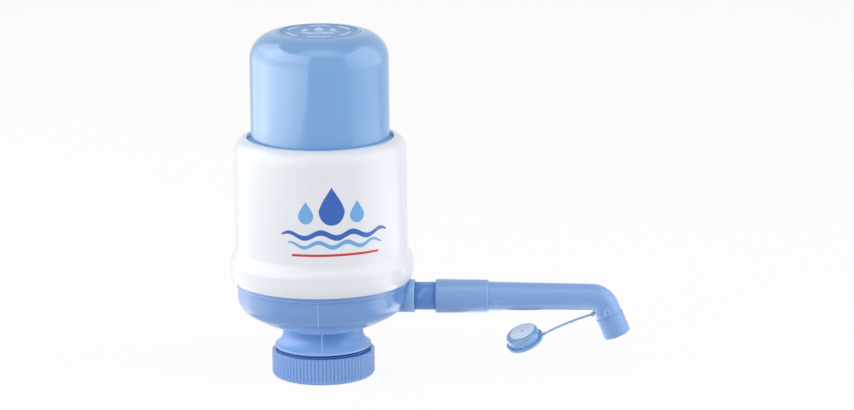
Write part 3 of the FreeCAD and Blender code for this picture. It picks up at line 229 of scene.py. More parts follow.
# Screen colour, roughness, depth of the skin in microns, and what differs from usual.
PLASTICS = {
    "collar_plastic": ((134, 172, 226), 0.22, 8, {"ior": 1.55}),
    "cap_plastic": ((119, 167, 218), 0.10, 2, {"ior": 1.55}),
    "white_shell": ((233, 235, 240), 0.19, 5, {"mottle": 0.006, "ior": 1.40}),
    "spout_plastic": ((128, 166, 221), 0.26, 10, {}),
    "soft_plastic": ((132, 174, 224), 0.24, 10, {}),
    "white_plastic": ((236, 237, 238), 0.30, 8, {"mottle": 0.008}),
    "inner_plastic": ((214, 219, 226), 0.36, 10, {}),
    "bellows_rubber": ((196, 208, 222), 0.48, 14, {}),
    "seal_rubber": ((40, 42, 46), 0.55, 14, {}),
    "screw_steel": ((196, 199, 204), 0.28, 2, {"metallic": 1.0}),
    # painted shade: the sleeve thread's dark blue stands for the shade in the gap over the collar
    "thread_painted_shade": ((14, 58, 146), 0.60, 10, {"ior": 1.25}),
    # painted highlight: the cap's raised figures, lighter than the cap's own plastic
    "relief_painted_highlight": ((178, 206, 240), 0.38, 6, {}),
    # painted highlight: the bowl's mould lines, the gate's ring and the bend's bead, lighter than
    # the plastic round them
    "edge_painted_highlight": ((150, 190, 236), 0.24, 6, {}),
    # painted highlight: the bead along the band's edge, lighter than the base
    "bead_painted_highlight": ((124, 166, 220), 0.22, 6, {}),
    # painted light: a pale blue for the cap's foot, shaded in the shell's hole, and painted
    # highlight on the neck's mould lines and the boss's edge
    "edge_painted_light": ((172, 210, 242), 0.30, 4, {}),
    "disc_blue": ((142, 173, 214), 0.55, 8, {"ior": 1.12}),
    # painted sheen: the dust cap's pale face stands for the light it reflects from above
    "dust_face_painted_sheen": ((226, 238, 251), 0.40, 8, {}),
    # painted light: the boss's side, lighter than the base round it
    "boss_blue_painted_light": ((136, 176, 226), 0.22, 6, {"ior": 1.55}),
    # painted shade: the stub between boss and sleeve, the line under the band, and the pips where
    # gate marks are dimpled
    "painted_shade_blue": ((92, 144, 210), 0.20, 6, {}),
    "dust_plastic": ((126, 168, 216), 0.20, 8, {}),
    "print_blue": ((44, 98, 186), 0.22, 4, {}),
    "print_sky": ((112, 170, 226), 0.22, 4, {}),
    "print_red": ((206, 44, 52), 0.22, 4, {}),
}

FINISHES = {"blue_plastic": base_plastic()}
for name, (tone, roughness, grain, others) in PLASTICS.items():
    FINISHES[name] = plastic(name, linear(*tone), roughness, grain * MICRON, **others)

NODE_FINISHES = {
    "base_housing": "blue_plastic",
    "screw_collar": "collar_plastic",
    "grip_ring": "white_plastic",
    "neck_seal": "seal_rubber",
    "riser_tube": "inner_plastic",
    "riser_o_ring": "seal_rubber",
    "waterway_elbow": "inner_plastic",
    "elbow_o_ring": "seal_rubber",
    "spout_o_ring": "seal_rubber",
    "deck_gasket": "seal_rubber",
    "deck_plate": "inner_plastic",
    "plate_screws": "screw_steel",
    "outlet_valve": "seal_rubber",
    "bellows": "bellows_rubber",
    "bellows_clamp_ring": "inner_plastic",
    "press_plate": "inner_plastic",
    "inlet_valve": "seal_rubber",
    "outer_shell": "white_shell",
    "push_cap": "cap_plastic",
    "spout_coupling": "spout_plastic",
    "spout_tube": "spout_plastic",
    "spout_nozzle": "spout_plastic",
    "cap_strap": "soft_plastic",
    "dust_cap": "dust_plastic",
}

for name, finish in NODE_FINISHES.items():
    materials = nodes[name].data.materials
    materials.clear()
    materials.append(FINISHES[finish])


# ---------------------------------------------------------------------------
# Making pieces
# ---------------------------------------------------------------------------

SUNK = 0.05 * MM  # how far the foot of a raised mark goes into its surface
FAR_OUT = 0.2  # where a ray towards the pump's axis starts
NEAR_OUT = 0.05  # the same for a ray towards the middle of the spout or of the dust cap


def add_piece(name, body, slot, points, faces, finish=None, smooth=True):
    mesh = bpy.data.meshes.new(name)
    mesh.from_pydata([tuple(p) for p in points], [], faces)
    mesh.validate()
    mesh.update()
    mesh.materials.append(FINISHES[finish or slot])
    if smooth:
        mesh.shade_smooth()
    piece = bpy.data.objects.new(name, mesh)
    bpy.context.scene.collection.objects.link(piece)
    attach(piece, body)
    return piece


def weave(rows, columns, round_rows=False, round_columns=False, flipped=False):
    """Faces between rows of points that follow each other, all with the same number of points."""
    faces = []
    for k in range(rows if round_rows else rows - 1):
        here, there = k * columns, (k + 1) % rows * columns
        for j in range(columns if round_columns else columns - 1):
            beside = (j + 1) % columns
            first, last = here + beside, there + j
            if flipped:
                first, last = last, first
            faces.append((here + j, first, there + beside, last))
    return faces


def angles_round(steps):
    return [2 * math.pi * k / steps for k in range(steps)]


def lathe(name, body, slot, outline, steps, finish=None, closed=False):
    """Turns an outline of (radius, height) about the pump's axis."""
    points = [(r * math.cos(angle), r * math.sin(angle), z)
              for angle in angles_round(steps) for r, z in outline]
    faces = weave(steps, len(outline), True, closed, flipped=True)
    return add_piece(name, body, slot, points, faces, finish)


def turned(centre, axis, side, outline, steps):
    """Points of an outline of (radius, distance along) that is turned about any axis."""
    other = axis.cross(side).normalized()
    arms = [side * math.cos(angle) + other * math.sin(angle) for angle in angles_round(steps)]
    return [centre + arm * r + axis * along for arm in arms for r, along in outline]


def stud(name, body, slot, place, normal, outline, steps=32, finish=None):
    """Turns a small outline of (radius, height) about a surface's normal."""
    points = turned(place, normal, normal.orthogonal().normalized(), outline, steps)
    faces = weave(steps, len(outline), round_rows=True, flipped=True)
    return add_piece(name, body, slot, points, faces, finish)


def radius_at(node, azimuth, height):
    """How far out a node's surface is from the pump's axis, in one direction and at one height."""
    outward = Vector((math.cos(azimuth), math.sin(azimuth), 0))
    hit, place, _, _ = node.ray_cast(outward * FAR_OUT + Vector((0, 0, height)), -outward)
    return Vector((place.x, place.y, 0)).length if hit else None


def surface_point(node, centre, towards):
    """Where a line from a centre in one direction leaves a node, and the normal there."""
    towards = towards.normalized()
    hit, place, normal, _ = node.ray_cast(centre + towards * NEAR_OUT, -towards)
    if not hit:
        raise RuntimeError(f"no surface of {node.name} there")
    return place, normal.normalized()


def top_of(node, radius):
    """Height of a node's top at a distance from the pump's axis."""
    hit, place, _, _ = nodes[node].ray_cast(Vector((radius, 0, 2 * FAR_OUT)), -UP)
    if not hit:
        raise RuntimeError(f"{node} has no top there")
    return place.z


def ridge(centre, beside, out, half_width, rise, sunk):
    """Four points across a thin raised line."""
    return [centre + beside * (side * half_width) + out * proud
            for side, proud in ((-1, -sunk), (-0.4, rise), (0.4, rise), (1, -sunk))]


def joint(name):
    return next(j for j in frame["joints"] if j["name"] == name)


def spout_axis_point(along):
    return Vector((along, 0, joint("spout_swivel")["pos_m"][2]))


add_camera()

# ---------------------------------------------------------------------------
# Mould lines on the base
# ---------------------------------------------------------------------------

MOULD_AZIMUTH = math.radians(-86.3)
BOWL_SHIFT = math.radians(-1.5)  # the bowl's line is this far from the neck's
BOWL_LINE_TOP = 57.4 * MM
BOWL_FOOT = 31.2 * MM
SKIRT_FOOT = 19.0 * MM
LINE_SUNK = 0.1 * MM


def mould_line(name, azimuth, low, high, count, width, rise, finish):
    """A thin raised line down the base's outside, as two mould halves leave it."""
    base = nodes["base_housing"]
    spine = [(radius_at(base, azimuth, z), float(z)) for z in np.linspace(low, high, count)]
    spine = [(radius, z) for radius, z in spine if radius is not None]
    outward = Vector((math.cos(azimuth), math.sin(azimuth), 0))
    beside = Vector((-math.sin(azimuth), math.cos(azimuth), 0))
    points = []
    for k, (radius, height) in enumerate(spine):
        r0, z0 = spine[max(0, k - 1)]
        r1, z1 = spine[min(len(spine) - 1, k + 1)]
        out = (outward * (z1 - z0) - UP * (r1 - r0)).normalized()
        centre = outward * radius + Vector((0, 0, height))
        points += ridge(centre, beside, out, width / 2, rise, LINE_SUNK)
    add_piece(name, "housing", "blue_plastic", points, weave(len(spine), 4), finish)


# The lines' lighter finishes are painted highlight.
for side, azimuth in (("front", MOULD_AZIMUTH), ("back", MOULD_AZIMUTH + math.pi)):
    mould_line(f"mould_line_{side}", azimuth + BOWL_SHIFT, BOWL_FOOT, BOWL_LINE_TOP,
               70, 0.70 * MM, 0.12 * MM, "edge_painted_highlight")
    mould_line(f"neck_line_{side}", azimuth, SKIRT_FOOT, BOWL_FOOT,
               40, 0.80 * MM, 0.14 * MM, "edge_painted_light")

# ---------------------------------------------------------------------------
# Thread on the base's sleeve
# ---------------------------------------------------------------------------

TURN_SPACING = 4.0 * MM / 3
TURN_STEPS = 72
TURN_PROFILE = ((-0.4, -0.02), (-0.144, 0.30), (0.144, 0.30), (0.4, -0.02))  # in spacings, in mm
THREAD_START = 0.4 * MM  # above the sleeve's end
THREAD_STOP = 0.3 * MM  # below the skirt


def make_sleeve_thread():
    """Turns of thread on the base's sleeve, which show in the gap over the collar, dark blue as
    painted shade of the gap.
    """
    root = radius_at(nodes["base_housing"], MOULD_AZIMUTH, SKIRT_FOOT - 1.2 * MM)
    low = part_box("base_housing")[0].z + THREAD_START
    steps = int((SKIRT_FOOT - THREAD_STOP - low) / TURN_SPACING * TURN_STEPS)
    points = []
    for k in range(steps + 1):
        angle = 2 * math.pi * k / TURN_STEPS
        height = low + TURN_SPACING * k / TURN_STEPS
        for up, out in TURN_PROFILE:
            radius = root + out * MM
            points.append((radius * math.cos(angle), radius * math.sin(angle),
                           height + up * TURN_SPACING))
    faces = weave(steps + 1, len(TURN_PROFILE), flipped=True)
    add_piece("sleeve_thread", "housing", "blue_plastic", points, faces, "thread_painted_shade")


# ---------------------------------------------------------------------------
# Small mouldings of the spout, the strap and the dust cap
# ---------------------------------------------------------------------------

GATE_ALONG = 5.5 * MM  # from the coupling sleeve's end
GATE_TURN = math.radians(14)  # below the tube's side
GATE_RADIUS, GATE_WIDTH, GATE_RISE = 1.35 * MM, 0.6 * MM, 0.20 * MM
GATE_PIP = ((0.42, -0.05), (0.34, 0.10), (0.0, 0.13))  # outlines of (radius, height) in mm
BEND_PIP = ((0.55, -0.05), (0.45, 0.08), (0.0, 0.12))
STRAP_NUB = ((0.75, -0.3), (0.7, 0.35), (0.45, 0.75), (0.0, 0.9))
DUST_CAP_PIP = ((0.7, 0.02), (0.6, 0.09), (0.0, 0.11))

SEAM_TURN = math.radians(43)  # below the tube's side
SEAM_STATIONS = 60
SEAM_START = 0.6 * MM  # from the coupling sleeve
SEAM_STOP = 2 * MM  # before the strap's end
SEAM_HALF_WIDTH, SEAM_RISE, SEAM_SUNK = 0.16 * MM, 0.09 * MM, 0.08 * MM

BEND = math.radians(68)
NOZZLE_RADIUS = 8.75 * MM
BADGE_BACK = 3.6 * MM  # from the outlet sleeve, up the bend
BADGE_RADIUS, BADGE_LEG = 1.75 * MM, 1.9 * MM  # half circle and legs that the bead follows
LEG_SHARE = 0.25  # of the bead's steps
BADGE_STEPS = 24
BEAD_HALF_WIDTH, BEAD_RISE, BEAD_SUNK = 0.55 * MM, 0.42 * MM, 0.06 * MM
BEAD_POINTS = 9
TO_TUBE_MIDDLE = 8 * MM

PROBE_GAP = 10 * MM  # from a small face to where a ray towards it starts
NUB_SHARE = 0.43  # of the strap's chord, from its root
DUST_CAP_UP = Vector((-0.3445, -0.2860, 0.8942))  # out of the dust cap's closed face
DUST_FACE_PROUD = 0.03 * MM
DUST_FACE_REACH = 12 * MM  # more than the cap's radius
DUST_FACE_DROP = 0.8 * MM  # the painted sheen ends where the cap has turned down by this much


def in_metres(outline):
    return [(radius * MM, height * MM) for radius, height in outline]


def make_gate_mark():
    """Ring that the mould's gate leaves near the tube's start, round a small pip: the ring lighter
    as painted highlight, the pip darker as painted shade of the gate's dimple.
    """
    centre = spout_axis_point(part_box("spout_coupling")[1].x + GATE_ALONG)
    towards = Vector((0, -math.cos(GATE_TURN), -math.sin(GATE_TURN)))
    place, normal = surface_point(nodes["spout_tube"], centre, towards)
    ring = [(GATE_RADIUS + GATE_WIDTH / 2 * math.cos(t), GATE_RISE * math.sin(t) - SUNK)
            for t in np.linspace(0, math.pi, BEAD_POINTS)]
    stud("gate_ring", "spout", "spout_plastic", place, normal, ring, finish="edge_painted_highlight")
    stud("gate_pip", "spout", "spout_plastic", place, normal, in_metres(GATE_PIP),
         finish="painted_shade_blue")


def make_tube_seams():
    """Mould lines along the tube's underside, to the camera's side and to the other."""
    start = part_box("spout_coupling")[1].x + SEAM_START
    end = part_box("cap_strap")[1].x - SEAM_STOP
    for side, sign in (("front", -1), ("back", 1)):
        towards = Vector((0, sign * math.cos(SEAM_TURN), -math.sin(SEAM_TURN)))
        points = []
        for x in np.linspace(start, end, SEAM_STATIONS):
            place, normal = surface_point(nodes["spout_tube"], spout_axis_point(float(x)), towards)
            beside = ALONG_SPOUT.cross(normal).normalized()
            points += ridge(place, beside, normal, SEAM_HALF_WIDTH, SEAM_RISE, SEAM_SUNK)
        add_piece(f"tube_seam_{side}", "spout", "spout_plastic", points, weave(SEAM_STATIONS, 4))


def badge_spot(share, side, back):
    """Place on the badge's path from its centre, and the way out there: leg, half circle, leg."""
    if share < LEG_SHARE:
        return side * -BADGE_RADIUS + back * (share / LEG_SHARE - 1) * BADGE_LEG, -side
    if share > 1 - LEG_SHARE:
        fall = (share - (1 - LEG_SHARE)) / LEG_SHARE
        return side * BADGE_RADIUS + back * -fall * BADGE_LEG, side
    angle = math.pi * (share - LEG_SHARE) / (1 - 2 * LEG_SHARE)
    out = -side * math.cos(angle) + back * math.sin(angle)
    return out * BADGE_RADIUS, out


def make_bend_badge():
    """Arched bead with a pip in it, on the bend above the outlet sleeve: the bead lighter as
    painted highlight, the pip darker as painted shade of a dimple.
    """
    tube = nodes["spout_tube"]
    nozzle_low, nozzle_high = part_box("spout_nozzle")
    flow = Vector((math.cos(BEND), 0, -math.sin(BEND)))
    sleeve_top = Vector((nozzle_low.x + NOZZLE_RADIUS * math.sin(BEND), 0,
                         nozzle_high.z - NOZZLE_RADIUS * math.cos(BEND)))
    place, normal = surface_point(tube, sleeve_top - flow * BADGE_BACK, Vector((0.05, -1, 0.02)))
    back = -flow
    side = normal.cross(back).normalized()
    section = [(math.cos(t), math.sin(t)) for t in np.linspace(0, math.pi, BEAD_POINTS)]
    points = []
    for k in range(BADGE_STEPS + 1):
        spot, out = badge_spot(k / BADGE_STEPS, side, back)
        for across, up in section:
            raw = place + spot + out * (across * BEAD_HALF_WIDTH)
            near, lean = surface_point(tube, raw - normal * TO_TUBE_MIDDLE, normal)
            points.append(near + lean * (up * BEAD_RISE - BEAD_SUNK))
    add_piece("bend_bead", "spout", "spout_plastic", points,
              weave(BADGE_STEPS + 1, BEAD_POINTS), "edge_painted_highlight")
    stud("bend_pip", "spout", "spout_plastic", place, normal, in_metres(BEND_PIP),
         finish="painted_shade_blue")


def make_strap_nub():
    """Small stop under the strap, not quite halfway from its root."""
    root = Vector(joint("strap_flex")["pos_m"])
    tip = Vector(joint("cap_flip")["pos_m"])
    below = root + (tip - root) * NUB_SHARE - UP * PROBE_GAP
    hit, place, _, _ = nodes["cap_strap"].ray_cast(below, UP)
    if not hit:
        raise RuntimeError("the strap isn't above its chord")
    stud("strap_nub", "strap", "soft_plastic", place, -UP, in_metres(STRAP_NUB), 20)


def make_dust_cap_face():
    """The gate's mark in the middle of the dust cap's face, darker as painted shade, and a pale
    painted sheen over the face to its edge.
    """
    cap = nodes["dust_cap"]
    low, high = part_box("dust_cap")
    place, out = surface_point(cap, (low + high) / 2, DUST_CAP_UP)
    stud("dust_cap_gate", "stopper", "soft_plastic", place, out, in_metres(DUST_CAP_PIP), 24,
         finish="painted_shade_blue")
    side = out.orthogonal().normalized()
    outline = []
    for radius in np.linspace(0, DUST_FACE_REACH, 61):
        start = place + side * float(radius) + out * PROBE_GAP
        hit, spot, _, _ = cap.ray_cast(start, -out)
        height = (spot - place).dot(out) if hit else -1.0
        if height < -DUST_FACE_DROP:
            break
        outline.append((float(radius), height + DUST_FACE_PROUD))
    stud("dust_cap_painted_sheen", "stopper", "soft_plastic", place, out, outline[::-1], 96,
         finish="dust_face_painted_sheen")


# ---------------------------------------------------------------------------
# The cap's top and its foot painted light, and painted light and shade on the base's band, boss
# and stub
# ---------------------------------------------------------------------------

CAP_FACE_AT = 10 * MM  # distance from the axis at which the cap's flat top is measured
DISC_PROUD = 0.015 * MM
DISC_MARGIN = 0.2 * MM
DISC_SEARCH = (26 * MM, 20 * MM, -0.1 * MM)  # radii tried, from the outside in
CAP_WALL_AT = 170 * MM  # height at which the cap's straight wall is measured
FLANGE_LOW, FLANGE_HIGH = 149.0 * MM, 151.4 * MM
FLANGE_OUT, FLANGE_UP = 0.03 * MM, 0.02 * MM
FLANGE_LEAST = 0.01 * MM  # wider than the wall by this counts as the foot

STEP_LOW, STEP_HIGH = 52 * MM, 60 * MM  # between these heights the bowl steps out to its band
WIDE_STEPS = 192  # round the pump

# Outlines from the step between bowl and band: mm outwards and mm up.
BAND_BEAD = ((-0.05, 0.5), (0.05, 0.42), (0.07, 0.2), (0.02, 0.02), (-0.06, -0.02))
BAND_SHADE = ((0.02, -0.02), (0.05, -0.2), (0.04, -0.5), (-0.05, -0.75))
# Outline from the edge of the boss's face: mm along the spout and mm outwards.
BOSS_EDGE = ((-0.45, -0.04), (-0.35, 0.08), (0.02, 0.06), (0.04, -0.35))
TONE_PROUD = 0.03 * MM
TONE_EDGE = 0.05 * MM


def make_cap_disc():
    """Matt disc on the cap's flat top, out to where the top turns down."""
    face = top_of("push_cap", CAP_FACE_AT) + DISC_PROUD
    edge = next(float(r) for r in np.arange(*DISC_SEARCH) if top_of("push_cap", float(r)) < face)
    lathe("cap_disc", "cap", "cap_plastic", [(0.0, face), (edge - DISC_MARGIN, face)], 128,
          "disc_blue")


def make_cap_flange():
    """Edge of the cap's foot, which shows in the shell's hole, painted light where the hole shades
    it.
    """
    cap = nodes["push_cap"]
    wall = radius_at(cap, MOULD_AZIMUTH, CAP_WALL_AT)
    outline = []
    for height in np.linspace(FLANGE_LOW, FLANGE_HIGH, 13):
        radius = radius_at(cap, MOULD_AZIMUTH, float(height))
        if radius is not None and radius > wall + FLANGE_LEAST:
            outline.append((radius + FLANGE_OUT, float(height) + FLANGE_UP))
    lathe("cap_flange", "cap", "cap_plastic", outline, WIDE_STEPS, "edge_painted_light")


def step_level(base):
    """Height of the step from the bowl's side to the band."""
    heights = np.linspace(STEP_LOW, STEP_HIGH, 801)
    radii = [radius_at(base, MOULD_AZIMUTH, float(z)) for z in heights]
    jumps = [b - a for a, b in zip(radii, radii[1:])]
    return float(heights[int(np.argmax(jumps))])


def make_band_edge():
    """Edge of the band under the shell: a bead lighter than the base as painted highlight, over a
    line of painted shade.
    """
    base = nodes["base_housing"]
    level = step_level(base)
    for name, measured_at, profile, finish in (
            ("band_bead", 1.0 * MM, BAND_BEAD, "bead_painted_highlight"),
            ("band_painted_shade", -0.5 * MM, BAND_SHADE, "painted_shade_blue")):
        radius = radius_at(base, MOULD_AZIMUTH, level + measured_at)
        outline = [(radius + out * MM, level + up * MM) for out, up in profile]
        lathe(name, "housing", "blue_plastic", outline, WIDE_STEPS, finish)


def spout_radius(along):
    """Radius of the boss or the stub, at a distance along the spout."""
    centre = spout_axis_point(along)
    place, _ = surface_point(nodes["base_housing"], centre, Vector((0, -1, 0)))
    return (place - centre).length


def spout_lathe(name, outline, finish, steps=96):
    """Turns an outline of (distance along, radius) about the spout's axis."""
    outline = [(radius, along) for along, radius in outline]
    points = turned(spout_axis_point(0), ALONG_SPOUT, Vector((0, 1, 0)), outline, steps)
    faces = weave(steps, len(outline), round_rows=True)
    add_piece(name, "housing", "blue_plastic", points, faces, finish)


def tone_outline(start, end, radius, lead):
    """A skin just over a cylinder, with its two edges sunk in."""
    return [(start, radius - TONE_PROUD), (start + lead, radius + TONE_PROUD),
            (end - TONE_EDGE, radius + TONE_PROUD), (end, radius - TONE_PROUD)]


def make_spout_tones():
    """The boss's edge and side painted light, and the stub between boss and sleeve painted with
    shade.
    """
    face = joint("spout_swivel")["pos_m"][0]
    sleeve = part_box("spout_coupling")[0].x
    boss = spout_radius(face - 0.5 * MM)
    stub = spout_radius((face + sleeve) / 2)
    spout_lathe("boss_edge", [(face + along * MM, boss + out * MM) for along, out in BOSS_EDGE],
                "edge_painted_light")
    spout_lathe("boss_painted_light", tone_outline(face - 5.5 * MM, face - 0.45 * MM, boss, 0.1 * MM),
                "boss_blue_painted_light")
    spout_lathe("stub_painted_shade",
                tone_outline(face + TONE_EDGE, sleeve - TONE_EDGE, stub, TONE_EDGE),
                "painted_shade_blue")


make_sleeve_thread()
make_gate_mark()
make_tube_seams()
make_bend_badge()
make_strap_nub()
make_dust_cap_face()
make_cap_disc()
make_cap_flange()
make_band_edge()
make_spout_tones()

# ---------------------------------------------------------------------------
# Bellows, which shorten as the cap is pressed; drawn here at rest, fixed to the housing
# ---------------------------------------------------------------------------

BELLOWS_FOLDS = 9
FOLD_DEPTH = 7.0 * MM
FOLD_STEPS = 16
FOLD_FULLNESS = 0.8  # below 1 the folds' outer turns are wider than their inner ones
BELLOWS_WALL = 1.5 * MM


def make_bellows():
    low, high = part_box("bellows")
    valley = (high.x - low.x) / 2 - FOLD_DEPTH
    foot, length = low.z, high.z - low.z
    outside = []
    for k in range(BELLOWS_FOLDS * FOLD_STEPS + 1):
        share = k / (BELLOWS_FOLDS * FOLD_STEPS)
        wave = 0.5 - 0.5 * math.cos(2 * math.pi * BELLOWS_FOLDS * share)
        outside.append((valley + FOLD_DEPTH * wave ** FOLD_FULLNESS, foot + length * share))
    inside = [(r - BELLOWS_WALL, z) for r, z in reversed(outside)]
    piece = lathe("bellows_folds", "housing", "bellows_rubber", outside + inside, 96, closed=True)
    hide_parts("bellows")
    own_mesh(piece)


make_bellows()

# ---------------------------------------------------------------------------
# Figures: a plain water motif on the cap's top and on the shell, in mm
# ---------------------------------------------------------------------------

WAVE_STEPS, DROP_STEPS, ARC_STEPS, BAR_STEPS = 120, 60, 24, 80
WAVE_TAPER = 0.35  # how suddenly a wave's ends thin out: less is more sudden
DROP_ROUND = 0.38  # share of a drop's height that is its round foot
DROP_POINT, DROP_BELLY = 1.25, 0.75  # how sharp its tip is, and how full it is under the tip

ARC_COUNT = 6
ARC_HALF_ANGLE = math.radians(21)
ARC_INNER, ARC_OUTER = 18.6, 20.4
CAP_DROPS = ((-8.5, 0.0, 8.0, 4.6), (0.0, 1.0, 12.0, 6.4), (8.5, 0.0, 8.0, 4.6))
CAP_WAVES = ((-4.5, 26, 1.7, 1.1, 2.5, 0.0), (-9.0, 19, 1.7, 1.1, 2.0, 0.0))
RELIEF_RISE, RELIEF_SUNK = 0.26 * MM, 0.02 * MM
RELIEF_SLOPE = 0.12  # share of a figure's width that each sloping side takes

PRINT_AZIMUTH = math.radians(-74.5)
PRINT_HEIGHT = 108.5 * MM
PRINT_PROUD = 0.04 * MM
PRINT_STEPS = 6


def wave_band(middle, width, height, swing, waves, phase):
    """Lower and upper edge of a wavy band."""
    lower, upper = [], []
    for k in range(WAVE_STEPS + 1):
        share = k / WAVE_STEPS
        x = (share - 0.5) * width
        y = middle + swing * math.sin(2 * math.pi * waves * share + phase)
        half = height / 2 * math.sin(math.pi * share) ** WAVE_TAPER
        lower.append((x, y - half))
        upper.append((x, y + half))
    return lower, upper


def drop(centre, bottom, height, width):
    """Left and right edge of a falling drop."""
    left, right = [], []
    for k in range(DROP_STEPS + 1):
        share = k / DROP_STEPS
        y = bottom + height * share
        if share < DROP_ROUND:
            sink = (share - DROP_ROUND) / DROP_ROUND
            half = width / 2 * math.sqrt(max(0.0, 1 - sink ** 2))
        else:
            rise = (share - DROP_ROUND) / (1 - DROP_ROUND)
            half = width / 2 * (1 - rise) ** DROP_POINT * (1 + DROP_BELLY * rise)
        left.append((centre - half, y))
        right.append((centre + half, y))
    return left, right


def arc(middle):
    """Inner and outer edge of an arc near the cap's rim."""
    angles = [middle + ARC_HALF_ANGLE * (k / ARC_STEPS - 0.5) * 2 for k in range(ARC_STEPS + 1)]
    return [[(radius * math.cos(a), radius * math.sin(a)) for a in angles]
            for radius in (ARC_INNER, ARC_OUTER)]


def bar(centre, middle, width, height):
    """Lower and upper edge of a straight bar."""
    lower = [(centre - width / 2 + width * k / BAR_STEPS, middle - height / 2)
             for k in range(BAR_STEPS + 1)]
    upper = [(x, middle + height / 2) for x, _ in lower]
    return lower, upper


def raised(name, face, edges):
    """A raised figure on the cap's top, between edges in mm across and away from the camera."""
    left, right = edges
    points = []
    for (xa, ya), (xb, yb) in zip(left, right):
        a, b = Vector((xa, ya, 0)) * MM, Vector((xb, yb, 0)) * MM
        inward = (b - a) * RELIEF_SLOPE
        for spot, up in ((a, -RELIEF_SUNK), (a + inward, RELIEF_RISE),
                         (b - inward, RELIEF_RISE), (b, -RELIEF_SUNK)):
            points.append(TO_FRAME @ spot + Vector((0, 0, face + up)))
    add_piece(name, "cap", "cap_plastic", points, weave(len(left), 4), "relief_painted_highlight", smooth=False)


def make_cap_marks():
    """Raised figures on the cap's top: arcs near the rim, and drops over two waves."""
    face = top_of("push_cap", CAP_FACE_AT)
    spacing = 360 / ARC_COUNT
    for number in range(ARC_COUNT):
        raised(f"cap_arc_{number}", face, arc(math.radians(spacing / 2 + spacing * number)))
    for number, sizes in enumerate(CAP_DROPS):
        raised(f"cap_drop_{number}", face, drop(*sizes))
    for number, sizes in enumerate(CAP_WAVES):
        raised(f"cap_wave_{number}", face, wave_band(*sizes))


def printed(name, finish, edges):
    """Wraps a figure, in mm across and up from the print's centre, round the shell."""
    radius = radius_at(nodes["outer_shell"], PRINT_AZIMUTH, PRINT_HEIGHT) + PRINT_PROUD
    points = []
    for a, b in zip(*edges):
        for j in range(PRINT_STEPS + 1):
            across = a[0] + (b[0] - a[0]) * j / PRINT_STEPS
            up = a[1] + (b[1] - a[1]) * j / PRINT_STEPS
            angle = PRINT_AZIMUTH + across * MM / radius
            points.append((radius * math.cos(angle), radius * math.sin(angle),
                           PRINT_HEIGHT + up * MM))
    faces = weave(len(edges[0]), PRINT_STEPS + 1)
    add_piece(name, "housing", "white_shell", points, faces, finish)


make_cap_marks()
printed("print_drop_large", "print_blue", drop(-3, -2, 24, 16))
printed("print_drop_left", "print_sky", drop(-19, -1, 14, 9.5))
printed("print_drop_right", "print_sky", drop(13, -1, 14, 9.5))
printed("print_wave_upper", "print_blue", wave_band(-8.0, 70, 3.6, 1.7, 3.5, 0.0))
printed("print_wave_lower", "print_sky", wave_band(-14.0, 62, 2.8, 1.6, 3.5, 0.9))
printed("print_bar", "print_red", bar(0, -20.5, 56, 1.5))

# ---------------------------------------------------------------------------
# Studio
# ---------------------------------------------------------------------------

FLOOR_SIZE = 30.0
FLOOR_GLOW = 0.92  # share of plain white in what is seen of the floor; the rest takes the shadow
PAPER = (0.92, 0.92, 0.93, 1)
SKY = (0.97, 0.98, 1.0, 1)
AMBIENT = 0.40
WHITE = (1.0, 1.0, 1.0, 1.0)
PANEL_COLUMNS = 40
ON_FLOOR = 0.6 * MM  # height of a panel's rows that lie on the floor
COVE = 0.62  # distance of the side panels' walls from the axis


def seen_rays(tree):
    """1 for what the camera, a reflection or a clear surface sees, and 0 for what only lights."""
    path = add_node(tree, "LightPath").outputs
    either = add_node(tree, "Math", operation="MAXIMUM",
                      links={0: path["Is Camera Ray"], 1: path["Is Glossy Ray"]})
    any_of_them = add_node(tree, "Math", operation="MAXIMUM",
                           links={0: either.outputs[0], 1: path["Is Transmission Ray"]})
    return any_of_them.outputs[0]


def mix_shaders(tree, output, share, first, second):
    """Leads a share of the second shader and the rest of the first to an output."""
    mix = add_node(tree, "MixShader", links={0: share, 1: first.outputs[0], 2: second.outputs[0]})
    add_node(tree, output, links={"Surface": mix.outputs[0]})


def add_world():
    world = bpy.data.worlds.new("studio")
    bpy.context.scene.world = world
    world.use_nodes = True
    tree = world.node_tree
    tree.nodes.clear()
    lighting = add_node(tree, "Background", {"Color": SKY, "Strength": AMBIENT})
    seen = add_node(tree, "Background", {"Color": WHITE, "Strength": 1.0})
    mix_shaders(tree, "OutputWorld", seen_rays(tree), lighting, seen)


def add_sheet(name, points, faces):
    """An object of the studio, with an empty material."""
    mesh = bpy.data.meshes.new(name)
    mesh.from_pydata([tuple(p) for p in points], [], faces)
    sheet = bpy.data.objects.new(name, mesh)
    bpy.context.scene.collection.objects.link(sheet)
    material, tree = new_material(name)
    mesh.materials.append(material)
    return sheet, tree


def add_floor():
    half = FLOOR_SIZE / 2
    corners = [(-half, -half, 0), (half, -half, 0), (half, half, 0), (-half, half, 0)]
    floor, tree = add_sheet("floor", corners, [(0, 1, 2, 3)])
    paper = add_node(tree, "BsdfDiffuse", {"Color": PAPER})
    glow = add_node(tree, "Emission", {"Color": WHITE, "Strength": 1.0})
    share = add_node(tree, "Math", {1: FLOOR_GLOW}, {0: seen_rays(tree)}, operation="MULTIPLY")
    mix_shaders(tree, "OutputMaterial", share.outputs[0], paper, glow)


def add_softbox(name, azimuth, distance, low, high, width, radiance, aim_height):
    """A lamp that reflections don't see. Radiance 1 is as bright as white."""
    place = seen_from_camera(azimuth, distance, (low + high) / 2)
    data = bpy.data.lights.new(name, "AREA")
    data.shape = "RECTANGLE"
    data.size = width
    data.size_y = high - low
    data.energy = radiance * math.pi * width * (high - low)
    lamp = bpy.data.objects.new(name, data)
    lamp.location = place
    aim = Vector((0, 0, aim_height)) - place
    lamp.rotation_euler = aim.to_track_quat("-Z", "Y").to_euler()
    lamp.visible_camera = False
    lamp.visible_glossy = False
    bpy.context.scene.collection.objects.link(lamp)


